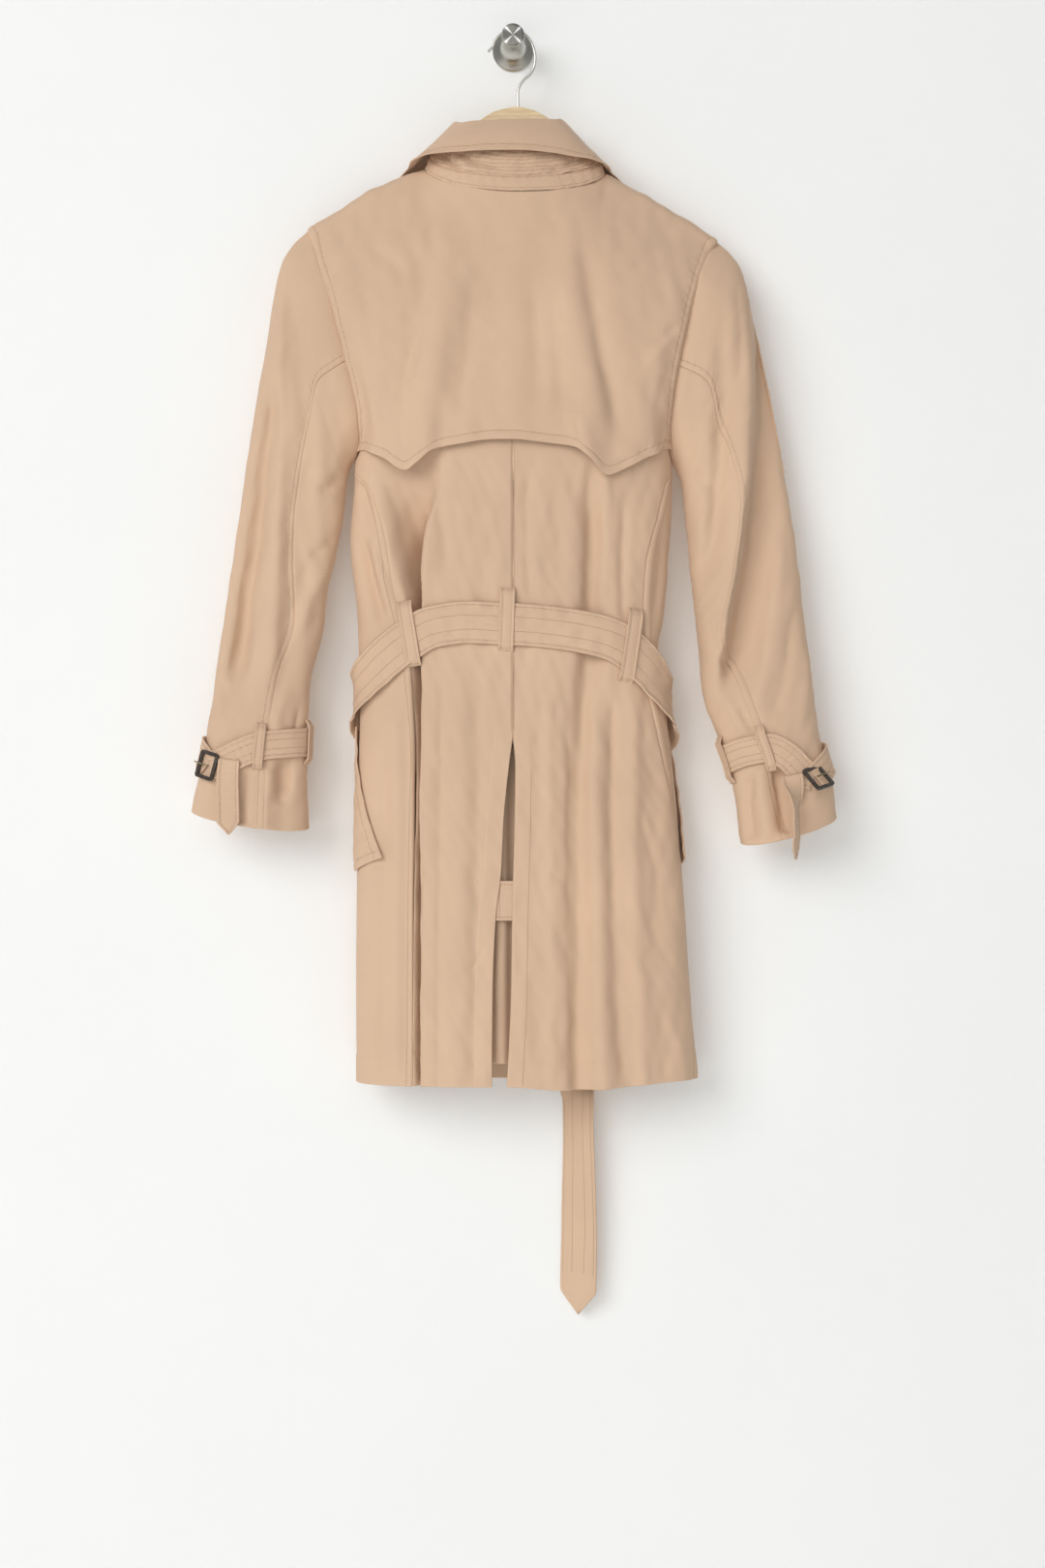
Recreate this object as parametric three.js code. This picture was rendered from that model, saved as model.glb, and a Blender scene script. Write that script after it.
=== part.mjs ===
// A belted trench coat on a wooden hanger, which hangs by its wire hook from a round wall knob.
//
// Millimetres, +Z up. The origin is the middle of the knob's flat back. The wall is the plane y = 0,
// and the coat
// hangs at y < 0 with its front to the wall and its back to the room. Left and right are as seen from
// the room.
// A "depth" is a distance out from the wall, so a point's y is minus its depth.
import * as THREE from "three";

const CLOTH = 1.4; // thickness of one layer of coat cloth
const BAND = 2.0; // thickness of a belt, strap or loop, which is two layers
const SEAM_GAP = 0.4; // between the edges of two panels that are sewn together
const EDGE_GAP = [0.6, 0.6, 1.8, 0]; // how far a body panel stays inside its two sides, its top and its hem
const SHIELD_GAP = [5, 5, 2.4, 0]; // the same for the storm shield: its two armholes, its top and its free edge
const SLEEVE_GAP = [0.6, 0.6, 1.1, 0]; // the same for a sleeve: its two seams, its armhole and its cuff
const BAND_GAP = [0.6, 0.6, 0.6, 1.5]; // the same for the collar's band: its two ends, its upper and its lower seam
const STAND_GAP = 0.8; // how far the collar's stand stays inside its edges
const FALL_SHIFT = { out: 2.2, up: 1 }; // how far the fall's fold lies outside and above the stand's
const RIDGE_DEPTH = 38; // depth of the shoulder seams, and of the hanger and its hook
const RIDGE_ROUND = 8; // radius that the shoulders take from the hanger
const NECK_ROUND = 1; // the same at the middle of the neckline
const NECK_OUT = { back: 37, front: -21 }; // how much further out from the wall the middle of the neckline lies
const SHOULDER_FALL = 130; // height over which the cloth opens out below the shoulder seams
const FALL_POWER = 2.2; // how soon it opens out: 1 is evenly
const NECK_RISE = 29; // drop of the back neckline below its ends
const FRONT_NECK_DROP = 60; // the same at the front
const UNDERARM = -428;
const FRONT_START = 1.0001; // the way round at which the front's armhole edge begins
const HEM_Z = -1046;
const HEM_WAVE = { height: 3.5, length: 38, from: -20, fade: 60 }; // waves of the hem to the right of a place x
const BREAK_Z = -400; // height where the lapels start to turn back
const OVERLAP = 75; // how far each front passes the centre front
const LAYER = 2.6; // distance from one layer of cloth to the next
const TOP_GUESS = -200; // a height near a panel's top edge, from which the search for that edge starts
const SQUARENESS = { back: 2.6, front: 3.4 }; // exponent of the body's section: 2 is an ellipse

/** Rows of numbers as objects with named columns. */
function table(names, rows) {
  return rows.map((row) => Object.fromEntries(names.map((name, i) => [name, row[i]])));
}

// The armhole above the underarm and the outline of the side below it, with the depth of its back and
// front edge.
const EDGE = {
  left: table(["z", "x", "back", "front"], [
    [-193, -204, 39.6, 36.2],
    [-225, -195, 60, 25],
    [-268, -180, 74, 20],
    [-328, -164, 75, 20],
    [-384, -151, 68, 26],
    [-405, -149.5, 58.5, 35],
    [-418, -152.5, 51.5, 41],
    [UNDERARM, -157, 46, 46],
    [-460, -159, 45, 45],
    [-502, -162, 45, 45],
    [-585, -155, 45, 45],
    [-660, -153, 45, 45],
    [-805, -156, 45, 45],
    [-1060, -157, 45, 45],
  ]),
  right: table(["z", "x", "back", "front"], [
    [-204, 203, 39.8, 36],
    [-224, 193, 56, 27],
    [-253, 182, 70, 21],
    [-317, 165, 75, 20],
    [-370, 156, 72, 24],
    [-400, 153.5, 61.5, 33],
    [-418, 155.5, 51.5, 41],
    [UNDERARM, 158, 46, 46],
    [-460, 159, 45, 45],
    [-504, 157, 45, 45],
    [-576, 150, 45, 45],
    [-615, 145, 45, 45],
    [-681, 154, 45, 45],
    [-805, 167, 45, 45],
    [-942, 176, 45, 45],
    [-1060, 186, 45, 45],
  ]),
};

// Depth of the middle of the back and of the front.
const MIDDLE = table(["z", "back", "front"], [
  [-100, 70, 24],
  [-164, 76, 18],
  [-230, 88, 17],
  [-300, 97, 17],
  [-380, 98, 17],
  [-480, 94, 17],
  [-560, 88, 17],
  [-640, 84, 17],
  [-800, 92, 17],
  [-900, 96, 19],
  [-1060, 100, 24],
]);

// The shoulder seams, from the neck out.
const SHOULDER = {
  left: table(["x", "z"], [[-87, -132], [-121, -145], [-166, -169], [-204, -193]]),
  right: table(["x", "z"], [[91, -137], [125, -156], [170, -182], [203, -204]]),
};

// Where the side seams run on the back of the coat.
const SIDE_SEAM = {
  left: table(["z", "x"], [
    [UNDERARM, -156],
    [-463, -139],
    [-501, -127],
    [-546, -120],
    [-569, -115],
    [-640, -101],
    [-740, -98],
    [-1060, -98],
  ]),
  right: table(["z", "x"], [
    [UNDERARM, 157],
    [-475, 146],
    [-532, 132],
    [-575, 130],
    [-644, 133],
    [-701, 144],
    [-788, 161],
    [-894, 172],
    [-1060, 182],
  ]),
};

// The centre back seam opens into the vent: the two edges below its top.
const VENT = table(["z", "left", "right"], [
  [-700, 0, 0],
  [-731, -4, 3],
  [-780, -9, 2.5],
  [-838, -12, 1],
  [-880, -17, 0],
  [-950, -20, -1],
  [-1060, -21, -6],
]);

// Large folds: the line that each follows, its half width, and how far it goes in (+) or stands out (-).
const BACK_FOLDS = [
  { half: 15, deep: 20, line: [[-118, -500], [-110, -565], [-91, -645], [-88, -740], [-88, -1060]] },
  { half: 13, deep: 6, line: [[58, -480], [66, -560], [64, -700], [58, -820], [62, -1060]] },
  { half: 15, deep: 5, line: [[96, -640], [97, -800], [104, -930], [112, -1060]] },
  { half: 17, deep: -4, line: [[78, -660], [78, -860], [82, -1060]] },
  { half: 17, deep: -4, line: [[-45, -240], [-66, -300], [-92, -420]] },
  { half: 17, deep: -4, line: [[44, -240], [58, -310], [86, -430]] },
];
const SLEEVE_FOLDS = {
  left: [
    { half: 12, deep: 5, line: [[-243, -350], [-247, -396], [-261, -513], [-275, -640]] },
    { half: 12, deep: -4, line: [[-231, -253], [-233, -549], [-238, -640]] },
    { half: 7, deep: 7, fade: 14, line: [[-226, -712], [-226, -765]] },
  ],
  right: [
    { half: 9, deep: -7, line: [[234, -240], [236, -358], [230, -455], [221, -523], [211, -582], [195,
        -663]] },
    { half: 14, deep: 6, line: [[252, -330], [254, -358], [250, -455], [243, -523], [234, -582], [222,
        -663]] },
    { half: 8, deep: 8, fade: 14, line: [[262, -728], [270, -800]] },
  ],
};
const FOLD_FADE = 60; // distance over which a fold fades in from its top, where it has no fade of its own

const sideSign = { left: -1, right: 1 };
const opposite = { left: "right", right: "left" };
const clamp = (value, low, high) => Math.min(high, Math.max(low, value));
const mix = (a, b, t) => a + (b - a) * t;
const ease = (t) => clamp(t, 0, 1) ** 2 * (3 - 2 * clamp(t, 0, 1));

/** A table's column at a value of its first column, on a smooth curve with no overshoot. */
function along(rows, by, column, at) {
  const last = rows.length - 1;
  const rising = rows[last][by] > rows[0][by] ? 1 : -1;
  if ((at - rows[0][by]) * rising <= 0) return rows[0][column];
  if ((at - rows[last][by]) * rising >= 0) return rows[last][column];
  let i = 0;
  while ((at - rows[i + 1][by]) * rising > 0) i++;
  const slope = (j) => (rows[j + 1][column] - rows[j][column]) / (rows[j + 1][by] - rows[j][by]);
  const tangent = (j) => {
    if (j === 0 || j === last) return slope(Math.min(j, last - 1));
    const [before, after] = [slope(j - 1), slope(j)];
    return before * after <= 0 ? 0 : (2 * before * after) / (before + after);
  };
  const h = rows[i + 1][by] - rows[i][by];
  const t = (at - rows[i][by]) / h;
  const [t2, t3] = [t * t, t * t * t];
  return (
    (2 * t3 - 3 * t2 + 1) * rows[i][column] + (t3 - 2 * t2 + t) * h * tangent(i) +
    (3 * t2 - 2 * t3) * rows[i + 1][column] + (t3 - t2) * h * tangent(i + 1)
  );
}

// ---- the body of the coat ----

/** Half an oval over the neck's width: 1 at the middle, 0 at its ends and beyond. */
function neckOval(x) {
  const end = SHOULDER[x < 0 ? "left" : "right"][0].x;
  return Math.sqrt(Math.max(0, 1 - (x / end) ** 2));
}

/** Height of a straight line between the inner ends of the two shoulder seams. */
function neckBase(x) {
  const [start, end] = [SHOULDER.left[0], SHOULDER.right[0]];
  return mix(start.z, end.z, clamp((x - start.x) / (end.x - start.x), 0, 1));
}

/** Height of the coat's top edge: the shoulder seams and, between them, the neckline. */
function topLine(face, x) {
  const seam = SHOULDER[x < 0 ? "left" : "right"];
  if (Math.abs(x) >= Math.abs(seam[0].x)) return along(seam, "x", "z", x);
  return neckBase(x) - neckOval(x) * (face === "back" ? NECK_RISE : FRONT_NECK_DROP);
}

/** How far a surface's folds press it in at a place in the view from the room. */
function foldDepth(folds, x, z) {
  let total = 0;
  for (const { half, deep, line, fade = FOLD_FADE } of folds) {
    const path = line.map(([foldX, foldZ]) => ({ x: foldX, z: foldZ }));
    const [top, bottom] = [path[0].z, path.at(-1).z];
    const off = (x - along(path, "z", "x", z)) / half;
    const open = bottom < HEM_Z ? 1 : ease((z - bottom) / fade);
    total += deep * ease((top - z) / fade) * open * Math.exp(-off * off);
  }
  return total;
}

/**
 * A point of the body. way is 0 at the centre back, 1 at the side and 2 at the centre front. Below 0
 * and past 2 it
 * is on the other side.
 */
function bodyPoint(side, way, z, folds = BACK_FOLDS) {
  if (way < 0) return bodyPoint(opposite[side], -way, z, folds);
  const face = way <= 1 ? "back" : "front";
  const half = way > 2 ? opposite[side] : side;
  const angle = (Math.min(way, Math.abs(2 - way)) * Math.PI) / 2;
  const power = 2 / SQUARENESS[face];
  const out = Math.sin(angle) ** power;
  const middle = Math.max(0, Math.cos(angle)) ** power;
  const x = along(EDGE[half], "z", "x", z) * out;
  const edge = along(EDGE[half], "z", face, z);
  const open = mix(edge, along(MIDDLE, "z", face, z), middle);
  const ridge = RIDGE_DEPTH + neckOval(x) * NECK_OUT[face];
  const radius = mix(RIDGE_ROUND, NECK_ROUND, neckOval(x) ** 0.5);
  const inNeck = face === "front" && Math.abs(x) < Math.abs(SHOULDER[half][0].x);
  const above = inNeck ? neckBase(x) : topLine(face, x);
  const drop = Math.max(0, above - z);
  const round = Math.sqrt(1 - (1 - Math.min(1, drop / radius)) ** 2) * Math.min(radius,
      Math.abs(open - ridge));
  const first = ridge + Math.sign(open - ridge) * round;
  const fall = 1 - (1 - Math.min(1, drop / SHOULDER_FALL)) ** FALL_POWER;
  const pressed = face === "back" ? foldDepth(folds, x, z) * middle ** 0.5 : 0;
  return [x, -(mix(first, open, fall) - pressed), z];
}

/** The way round the body to a place x on the back. */
function wayAt(side, x, z) {
  const share = clamp(x / along(EDGE[side], "z", "x", z), 0, 1);
  return Math.asin(share ** (SQUARENESS.back / 2)) / (Math.PI / 2);
}

/** The way round to a place x on the front, past the centre front where x is on the other side. */
function frontWayAt(side, x, z) {
  const half = Math.sign(x) === sideSign[side] ? side : opposite[side];
  const share = clamp(Math.abs(x / along(EDGE[half], "z", "x", z)), 0, 1);
  const angle = Math.asin(share ** (SQUARENESS.front / 2)) / (Math.PI / 2);
  return half === side ? 2 - angle : 2 + angle;
}

/** The way round to a panel's outer edge: its armhole and, below it, the side seam. */
function seamWay(side, face, z) {
  if (z > UNDERARM) return face === "back" ? 1 : FRONT_START;
  return wayAt(side, along(SIDE_SEAM[side], "z", "x", z), z);
}

function hemLine(x) {
  const { height, length, from, fade } = HEM_WAVE;
  return HEM_Z - height * Math.sin(x / length) * ease((x - from) / fade);
}

/** The height at which a surface, given by at(z), meets a line, given by its height at a place x. */
function meet(at, line, z) {
  for (let i = 0; i < 12; i++) z = mix(z, line(at(z)[0]), 0.7);
  return z;
}

/**
 * A panel of the body as a function of (c, v): c goes from its first edge to its second and v from its
 * top edge to
 * its bottom. Both edges are ways round the body at a height, and top and bottom are heights at a place x.
 */
function bodyPatch(side, first, second, top, bottom) {
  return (c, v) => {
    const at = (z) => bodyPoint(side, mix(first(z), second(z), c), z);
    return at(mix(meet(at, top, TOP_GUESS), meet(at, bottom, HEM_Z), v));
  };
}

// ---- closed walls from points ----

const subtract = (a, b) => a.map((value, i) => value - b[i]);
const add = (a, b, scale = 1) => a.map((value, i) => value + b[i] * scale);
const cross = (a, b) => [a[1] * b[2] - a[2] * b[1], a[2] * b[0] - a[0] * b[2], a[0] * b[1] - a[1] * b[0]];
const unit = (a) => a.map((value) => value / (Math.hypot(...a) || 1));

/** Normals of a grid of points, from the differences across its rows and columns. */
function gridNormals(grid) {
  const [rows, columns] = [grid.length, grid[0].length];
  return grid.map((row, j) =>
    row.map((_, i) => {
      const across = subtract(grid[j][Math.min(i + 1, columns - 1)], grid[j][Math.max(i - 1, 0)]);
      const down = subtract(grid[Math.min(j + 1, rows - 1)][i], grid[Math.max(j - 1, 0)][i]);
      return unit(cross(across, down));
    }),
  );
}

/**
 * Draws a grid's edges in, so that they stay clear of the next panel's: by one distance all round, or
 * by four, for
 * its first and last column and its first and last row.
 */
function insetGrid(grid, inset) {
  const [left, right, top, bottom] = Array.isArray(inset) ? inset : [inset, inset, inset, inset];
  const [rows, columns] = [grid.length, grid[0].length];
  const step = (from, to, gap) => add(from, unit(subtract(to, from)), gap);
  const moved = grid.map((row) => row.slice());
  for (let j = 0; j < rows; j++) {
    moved[j][0] = step(grid[j][0], grid[j][1], left);
    moved[j][columns - 1] = step(grid[j][columns - 1], grid[j][columns - 2], right);
  }
  for (let i = 0; i < columns; i++) {
    moved[0][i] = add(moved[0][i], unit(subtract(grid[1][i], grid[0][i])), top);
    moved[rows - 1][i] = add(moved[rows - 1][i], unit(subtract(grid[rows - 2][i], grid[rows - 1][i])),
        bottom);
  }
  return moved;
}

/** A closed wall around a grid of points, of a thickness, moved out along its normals by lift(point). */
function wall(patch, cs, vs, { thickness = CLOTH, lift = () => 0, inset = SEAM_GAP / 2, out }) {
  const flat = insetGrid(vs.map((v) => cs.map((c) => patch(c, v))), inset);
  const normals = gridNormals(flat);
  const [rows, columns] = [vs.length, cs.length];
  const middle = [Math.floor(rows / 2), Math.floor(columns / 2)];
  const facing = normals[middle[0]][middle[1]];
  const outward = out(flat[middle[0]][middle[1]]);
  const sign = facing.reduce((sum, value, i) => sum + value * outward[i], 0) < 0 ? -1 : 1;
  const layer = (shift) =>
    flat.map((row, j) => row.map((p, i) => add(p, normals[j][i], sign * (lift(p) + shift))));
  const [front, back] = [layer(thickness / 2), layer(-thickness / 2)];
  const points = [...front.flat(), ...back.flat()];
  const id = (j, i, side) => side * rows * columns + j * columns + i;
  const faces = [];
  const quad = (a, b, c, d) => faces.push([a, b, c], [a, c, d]);
  for (let j = 0; j < rows - 1; j++) {
    for (let i = 0; i < columns - 1; i++) {
      quad(id(j, i, 0), id(j, i + 1, 0), id(j + 1, i + 1, 0), id(j + 1, i, 0));
      quad(id(j, i, 1), id(j + 1, i, 1), id(j + 1, i + 1, 1), id(j, i + 1, 1));
    }
    quad(id(j, 0, 0), id(j + 1, 0, 0), id(j + 1, 0, 1), id(j, 0, 1));
    quad(id(j, columns - 1, 0), id(j, columns - 1, 1), id(j + 1, columns - 1, 1), id(j + 1, columns - 1, 0));
  }
  for (let i = 0; i < columns - 1; i++) {
    quad(id(0, i, 0), id(0, i, 1), id(0, i + 1, 1), id(0, i + 1, 0));
    quad(id(rows - 1, i, 0), id(rows - 1, i + 1, 0), id(rows - 1, i + 1, 1), id(rows - 1, i, 1));
  }
  const geometry = new THREE.BufferGeometry();
  geometry.setAttribute("position", new THREE.Float32BufferAttribute(points.flat(), 3));
  geometry.setIndex(faces.flatMap((face) => (sign > 0 ? face : [face[0], face[2], face[1]])));
  geometry.computeVertexNormals();
  return geometry;
}

/** Evenly spaced values from 0 to 1. */
const even = (steps) => Array.from({ length: steps + 1 }, (_, i) => i / steps);

/**
 * A closed flat band, such as a belt or a strap, along stops of { point, normal, width }. Each stop's
 * normal faces
 * out of what the band lies on. A width of nearly nothing at the last stop gives it a pointed end.
 */
function band(stops, thickness = BAND) {
  const last = stops.length - 1;
  const points = stops.flatMap(({ point, normal, width }, i) => {
    const ahead = unit(subtract(stops[Math.min(i + 1, last)].point, stops[Math.max(i - 1, 0)].point));
    const across = unit(cross(normal, ahead));
    const up = unit(cross(ahead, across));
    const corner = (a, u) => add(add(point, across, (a * width) / 2), up, (u * thickness) / 2);
    return [corner(-1, -1), corner(1, -1), corner(1, 1), corner(-1, 1)];
  });
  const faces = [[0, 2, 1], [0, 3, 2]];
  for (let i = 0; i < last; i++) {
    // Both flat sides are split along the same diagonal, so that they stay apart where the band twists.
    for (let k = 0; k < 4; k++) {
      const [a, b] = [i * 4 + k, i * 4 + ((k + 1) % 4)];
      if (k === 2) faces.push([a, b, a + 4], [b, b + 4, a + 4]);
      else faces.push([a, b, b + 4], [a, b + 4, a + 4]);
    }
  }
  faces.push([last * 4, last * 4 + 1, last * 4 + 2], [last * 4, last * 4 + 2, last * 4 + 3]);
  const geometry = new THREE.BufferGeometry();
  geometry.setAttribute("position", new THREE.Float32BufferAttribute(points.flat(), 3));
  geometry.setIndex(faces.flat());
  geometry.computeVertexNormals();
  return geometry;
}

// ---- materials and the group ----

const finish = (color, roughness, metalness = 0) => new THREE.MeshStandardMaterial({ color, roughness,
    metalness });
const GABARDINE = finish(0xd4b699, 0.85);
const WOOD = finish(0xe9cfa2, 0.5);
const STEEL = finish(0xb9b7b1, 0.3, 1);
const HORN = finish(0x2f2c2a, 0.4);
const BRASS = finish(0x9c8a5c, 0.35, 1);

const coat = new THREE.Group();

function place(name, geometry, material = GABARDINE) {
  const mesh = new THREE.Mesh(geometry, material);
  mesh.name = name;
  coat.add(mesh);
  return mesh;
}

const SIDES = ["left", "right"];
const BODY_MIDDLE_DEPTH = 45; // depth that counts as inside the coat
const fromBody = ([x, y]) => [x * 0.4, y + BODY_MIDDLE_DEPTH, 0];

/**
 * A point of the body moved out by a lift, with the outward normal there. Bands bridge the folds, so
 * none count.
 */
function onBody(side, way, z, lift) {
  const step = 0.01;
  const at = (w, height) => bodyPoint(side, w, height, []);
  const point = at(way, z);
  const across = subtract(at(way + step, z), at(way - step, z));
  const down = subtract(at(way, z - 2), at(way, z + 2));
  let normal = unit(cross(across, down));
  const out = fromBody(point);
  if (normal[0] * out[0] + normal[1] * out[1] < 0) normal = normal.map((value) => -value);
  return { point: add(point, normal, lift), normal };
}

const sideOf = (x) => (x < 0 ? "left" : "right");
const onBack = (x, z, lift) => onBody(sideOf(x), wayAt(sideOf(x), x, z), z, lift);
const onFront = (x, z, lift) => onBody(sideOf(x), frontWayAt(sideOf(x), x, z), z, lift);

// ---- backs, storm shield and vent ----

// Rows of a body panel: close together over the hanger, then spread out to the hem.
const BODY_ROWS = [
  0, 0.004, 0.0095, 0.03, 0.07, 0.12, 0.18, 0.24, 0.275, 0.32, 0.38, 0.44, 0.5, 0.56, 0.63, 0.71, 0.8, 0.9, 1,
];
const BACK_COLUMNS = {
  left: [0, 0.11, 0.214, 0.33, 0.45, 0.57, 0.68, 0.77, 0.84, 0.9, 0.95, 1],
  right: [0, 0.12, 0.229, 0.34, 0.45, 0.56, 0.67, 0.78, 0.89, 1],
};

/** The place of a panel's centre back edge, which stays on its own side of the middle. */
const ventX = (side, z) => sideSign[side] * Math.max(SEAM_GAP / 2, sideSign[side] * along(VENT, "z", side, z));

function addBacks() {
  for (const side of SIDES) {
    const middle = (z) => wayAt(side, ventX(side, z), z);
    const outer = (z) => seamWay(side, "back", z);
    const ends = side === "left" ? [outer, middle] : [middle, outer];
    const columns = side === "left" ? BACK_COLUMNS.left.map((c) => 1 - c).reverse() : BACK_COLUMNS.right;
    const patch = bodyPatch(side, ...ends, (x) => topLine("back", x), hemLine);
    place(`back_${side}`, wall(patch, columns, BODY_ROWS, { out: fromBody, inset: EDGE_GAP }));
  }
}

// The lower edge of the storm shield, with a point on each side of its raised middle.
const SHIELD_EDGE = table(["x", "z"], [
  [-146, -418],
  [-125, -428],
  [-104, -441],
  [-92, -434],
  [-76, -421],
  [-50, -416],
  [-20, -412],
  [0, -412],
  [30, -415],
  [60, -419],
  [76, -432],
  [91, -446],
  [111, -438],
  [130, -427],
  [151, -416],
]);
// How far it lies off the backs at its top and its free edge, over what height that grows, and the
// share of the
// coat's half width past which it lies close again, with the width over which it does.
const SHIELD_LIFT = { top: 2.8, edge: 5.5, height: 280, close: 0.82, fade: 0.16 };

/** The shield follows the rows of the backs down to its last few, which spread out to its lower edge. */
function addShield() {
  const shared = 6;
  const steps = 9;
  const patch = (c, v) => {
    const at = (z) => bodyPoint(sideOf(c - 0.5), Math.abs(2 * c - 1), z);
    const top = meet(at, (x) => topLine("back", x), TOP_GUESS);
    const row = Math.round(v * steps);
    const down = (i) => mix(top, meet(at, hemLine, HEM_Z), BODY_ROWS[i]);
    if (row <= shared) return at(down(row));
    const edge = meet(at, (x) => along(SHIELD_EDGE, "x", "z", x), UNDERARM);
    return at(mix(down(shared), edge, (row - shared) / (steps - shared)));
  };
  const columns = [...BACK_COLUMNS.left.map((c) => -c).reverse(), ...BACK_COLUMNS.right.slice(1)];
  const lift = ([x, , z]) => {
    const { top, edge, height, close, fade } = SHIELD_LIFT;
    const nearSleeve = ease((Math.abs(x / along(EDGE[sideOf(x)], "z", "x", z)) - close) / fade);
    return mix(top, edge, ease((topLine("back", x) - z) / height) * (1 - nearSleeve));
  };
  const options = { lift, out: fromBody, inset: SHIELD_GAP };
  place("storm_shield", wall(patch, columns.map((c) => (c + 1) / 2), even(steps), options));
}

// The underlap lies a depth behind the backs, and deeper behind the tab, which has room above and below it.
const VENT_UNDERLAP = {
  top: -712, bottom: -1024, left: -34, right: 12, depth: 2.2, belowTab: 4.4, room: 14, fade: 22,
};
const VENT_TAB = { middle: -864, width: 38, left: -38, right: 9, depth: 2.2, thickness: 1.6 };

function addVent() {
  const { top, bottom, left, right, depth, belowTab, room, fade } = VENT_UNDERLAP;
  const patch = (c, v) => onBack(mix(left, right, c), mix(top, bottom, v), 0).point;
  const nearTab = (z) => ease((VENT_TAB.width + room - Math.abs(z - VENT_TAB.middle)) / fade);
  const lift = ([, , z]) => -mix(depth, belowTab, nearTab(z));
  place("vent_underlap", wall(patch, even(4), even(12), { lift, out: fromBody }));
  const stops = even(5).map((t) => {
    const { point, normal } = onBack(mix(VENT_TAB.left, VENT_TAB.right, t), VENT_TAB.middle, -VENT_TAB.depth);
    return { point, normal, width: VENT_TAB.width };
  });
  place("vent_tab", band(stops, VENT_TAB.thickness));
}

// ---- fronts, lapels, pocket welts and buttons ----

// The free edge of each front: the line that the lapel rolls on down to the break, then the overlap's edge.
const FRONT_EDGE = {
  left: table(["z", "x"], [[SHOULDER.left[0].z, SHOULDER.left[0].x], [BREAK_Z, OVERLAP], [-1060, OVERLAP]]),
  right: table(["z", "x"], [[SHOULDER.right[0].z, SHOULDER.right[0].x], [BREAK_Z, -OVERLAP], [-1060, -OVERLAP]]),
};
const FRONT_COLUMNS = [0, 0.08, 0.16, 0.23, 0.29, 0.34, 0.39, 0.45, 0.52, 0.6, 0.69, 0.78, 0.87, 0.94, 1];

const rollX = (side, z) => along(FRONT_EDGE[side], "z", "x", z);

// How far the left front lies behind the right one where they overlap, and from which x and z that fades in.
const UNDER = { depth: 2.4 * LAYER, x: -152, width: 46, z: -165, height: 75 };

/**
 * How far a front lies out from the coat's surface: the left one goes in where the right one laps over
 * it.
 */
const frontLift = (side) => ([x, y, z]) => {
  if (side === "right" || -y > BODY_MIDDLE_DEPTH) return 0;
  return -UNDER.depth * ease((x - UNDER.x) / UNDER.width) * ease((UNDER.z - z) / UNDER.height);
};

function addFronts() {
  for (const side of SIDES) {
    const second = (z) => frontWayAt(side, rollX(side, z), z);
    const first = (z) => seamWay(side, "front", z);
    const patch = bodyPatch(side, first, second, (x) => topLine("front", x), hemLine);
    const lift = frontLift(side);
    place(`front_${side}`, wall(patch, FRONT_COLUMNS, BODY_ROWS, { lift, out: fromBody, inset: EDGE_GAP }));
  }
}

const LAPEL = { lift: 2.58, top: -186, tipX: 150, tipZ: -234, bottomWidth: 7, bottomZ: BREAK_Z + 4,
    curve: 1.25 };

function addLapels() {
  for (const side of SIDES) {
    const sign = sideSign[side];
    const outerX = (z) => {
      const t = clamp((LAPEL.tipZ - z) / (LAPEL.tipZ - LAPEL.bottomZ), 0, 1) ** LAPEL.curve;
      return mix(sign * LAPEL.tipX, rollX(side, LAPEL.bottomZ) + sign * LAPEL.bottomWidth, t);
    };
    const patch = (c, v) => {
      const z = mix(mix(LAPEL.top, LAPEL.tipZ, c), LAPEL.bottomZ, v);
      const x = mix(rollX(side, z), outerX(z), c);
      return bodyPoint(side, frontWayAt(side, x, z), z);
    };
    const lift = (point) => frontLift(side)(point) + LAPEL.lift;
    place(`lapel_${side}`, wall(patch, even(7), even(9), { lift, out: fromBody }));
  }
}

// Each welt runs down the side of the coat from its top to its bottom, and its lower edge slants to the
// front.
const WELT = { top: -692, bottom: -822, slant: -14, span: 0.34, lift: 2.2, thickness: 1.8 };
const WELT_EDGE = { left: [1.0, 0.56], right: [1.16, 0.93] }; // ways round to its upper and lower back corners

function addWelts() {
  for (const side of SIDES) {
    const patch = (c, v) => {
      const z = mix(WELT.top, WELT.bottom, v) + WELT.slant * c;
      return bodyPoint(side, mix(...WELT_EDGE[side], v) + WELT.span * c, z);
    };
    const { lift, thickness } = WELT;
    place(`pocket_welt_${side}`, wall(patch, even(6), even(7), { lift: () => lift, thickness, out: fromBody }));
  }
}

const BUTTON = { radius: 11, thickness: 3.4, columnX: 56, rows: [-428, -530, -632, -842], lift: 1.1 };

/** A disc with a rounded rim whose axis lies along the room's depth. */
function buttonGeometry(radius, thickness) {
  const profile = [[0, 0], [0.9, 0], [1, 0.45], [0.86, 1], [0, 0.7]];
  return new THREE.LatheGeometry(profile.map(([r, h]) => new THREE.Vector2(r * radius, h * thickness)), 14);
}

function addButtons() {
  for (const side of SIDES) {
    BUTTON.rows.forEach((z, row) => {
      const { point } = onFront(sideSign[side] * BUTTON.columnX, z, BUTTON.lift);
      const button = place(`button_${side}_${row + 1}`, buttonGeometry(BUTTON.radius, BUTTON.thickness), HORN);
      button.position.set(...point);
    });
  }
}

// ---- collar ----

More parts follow.
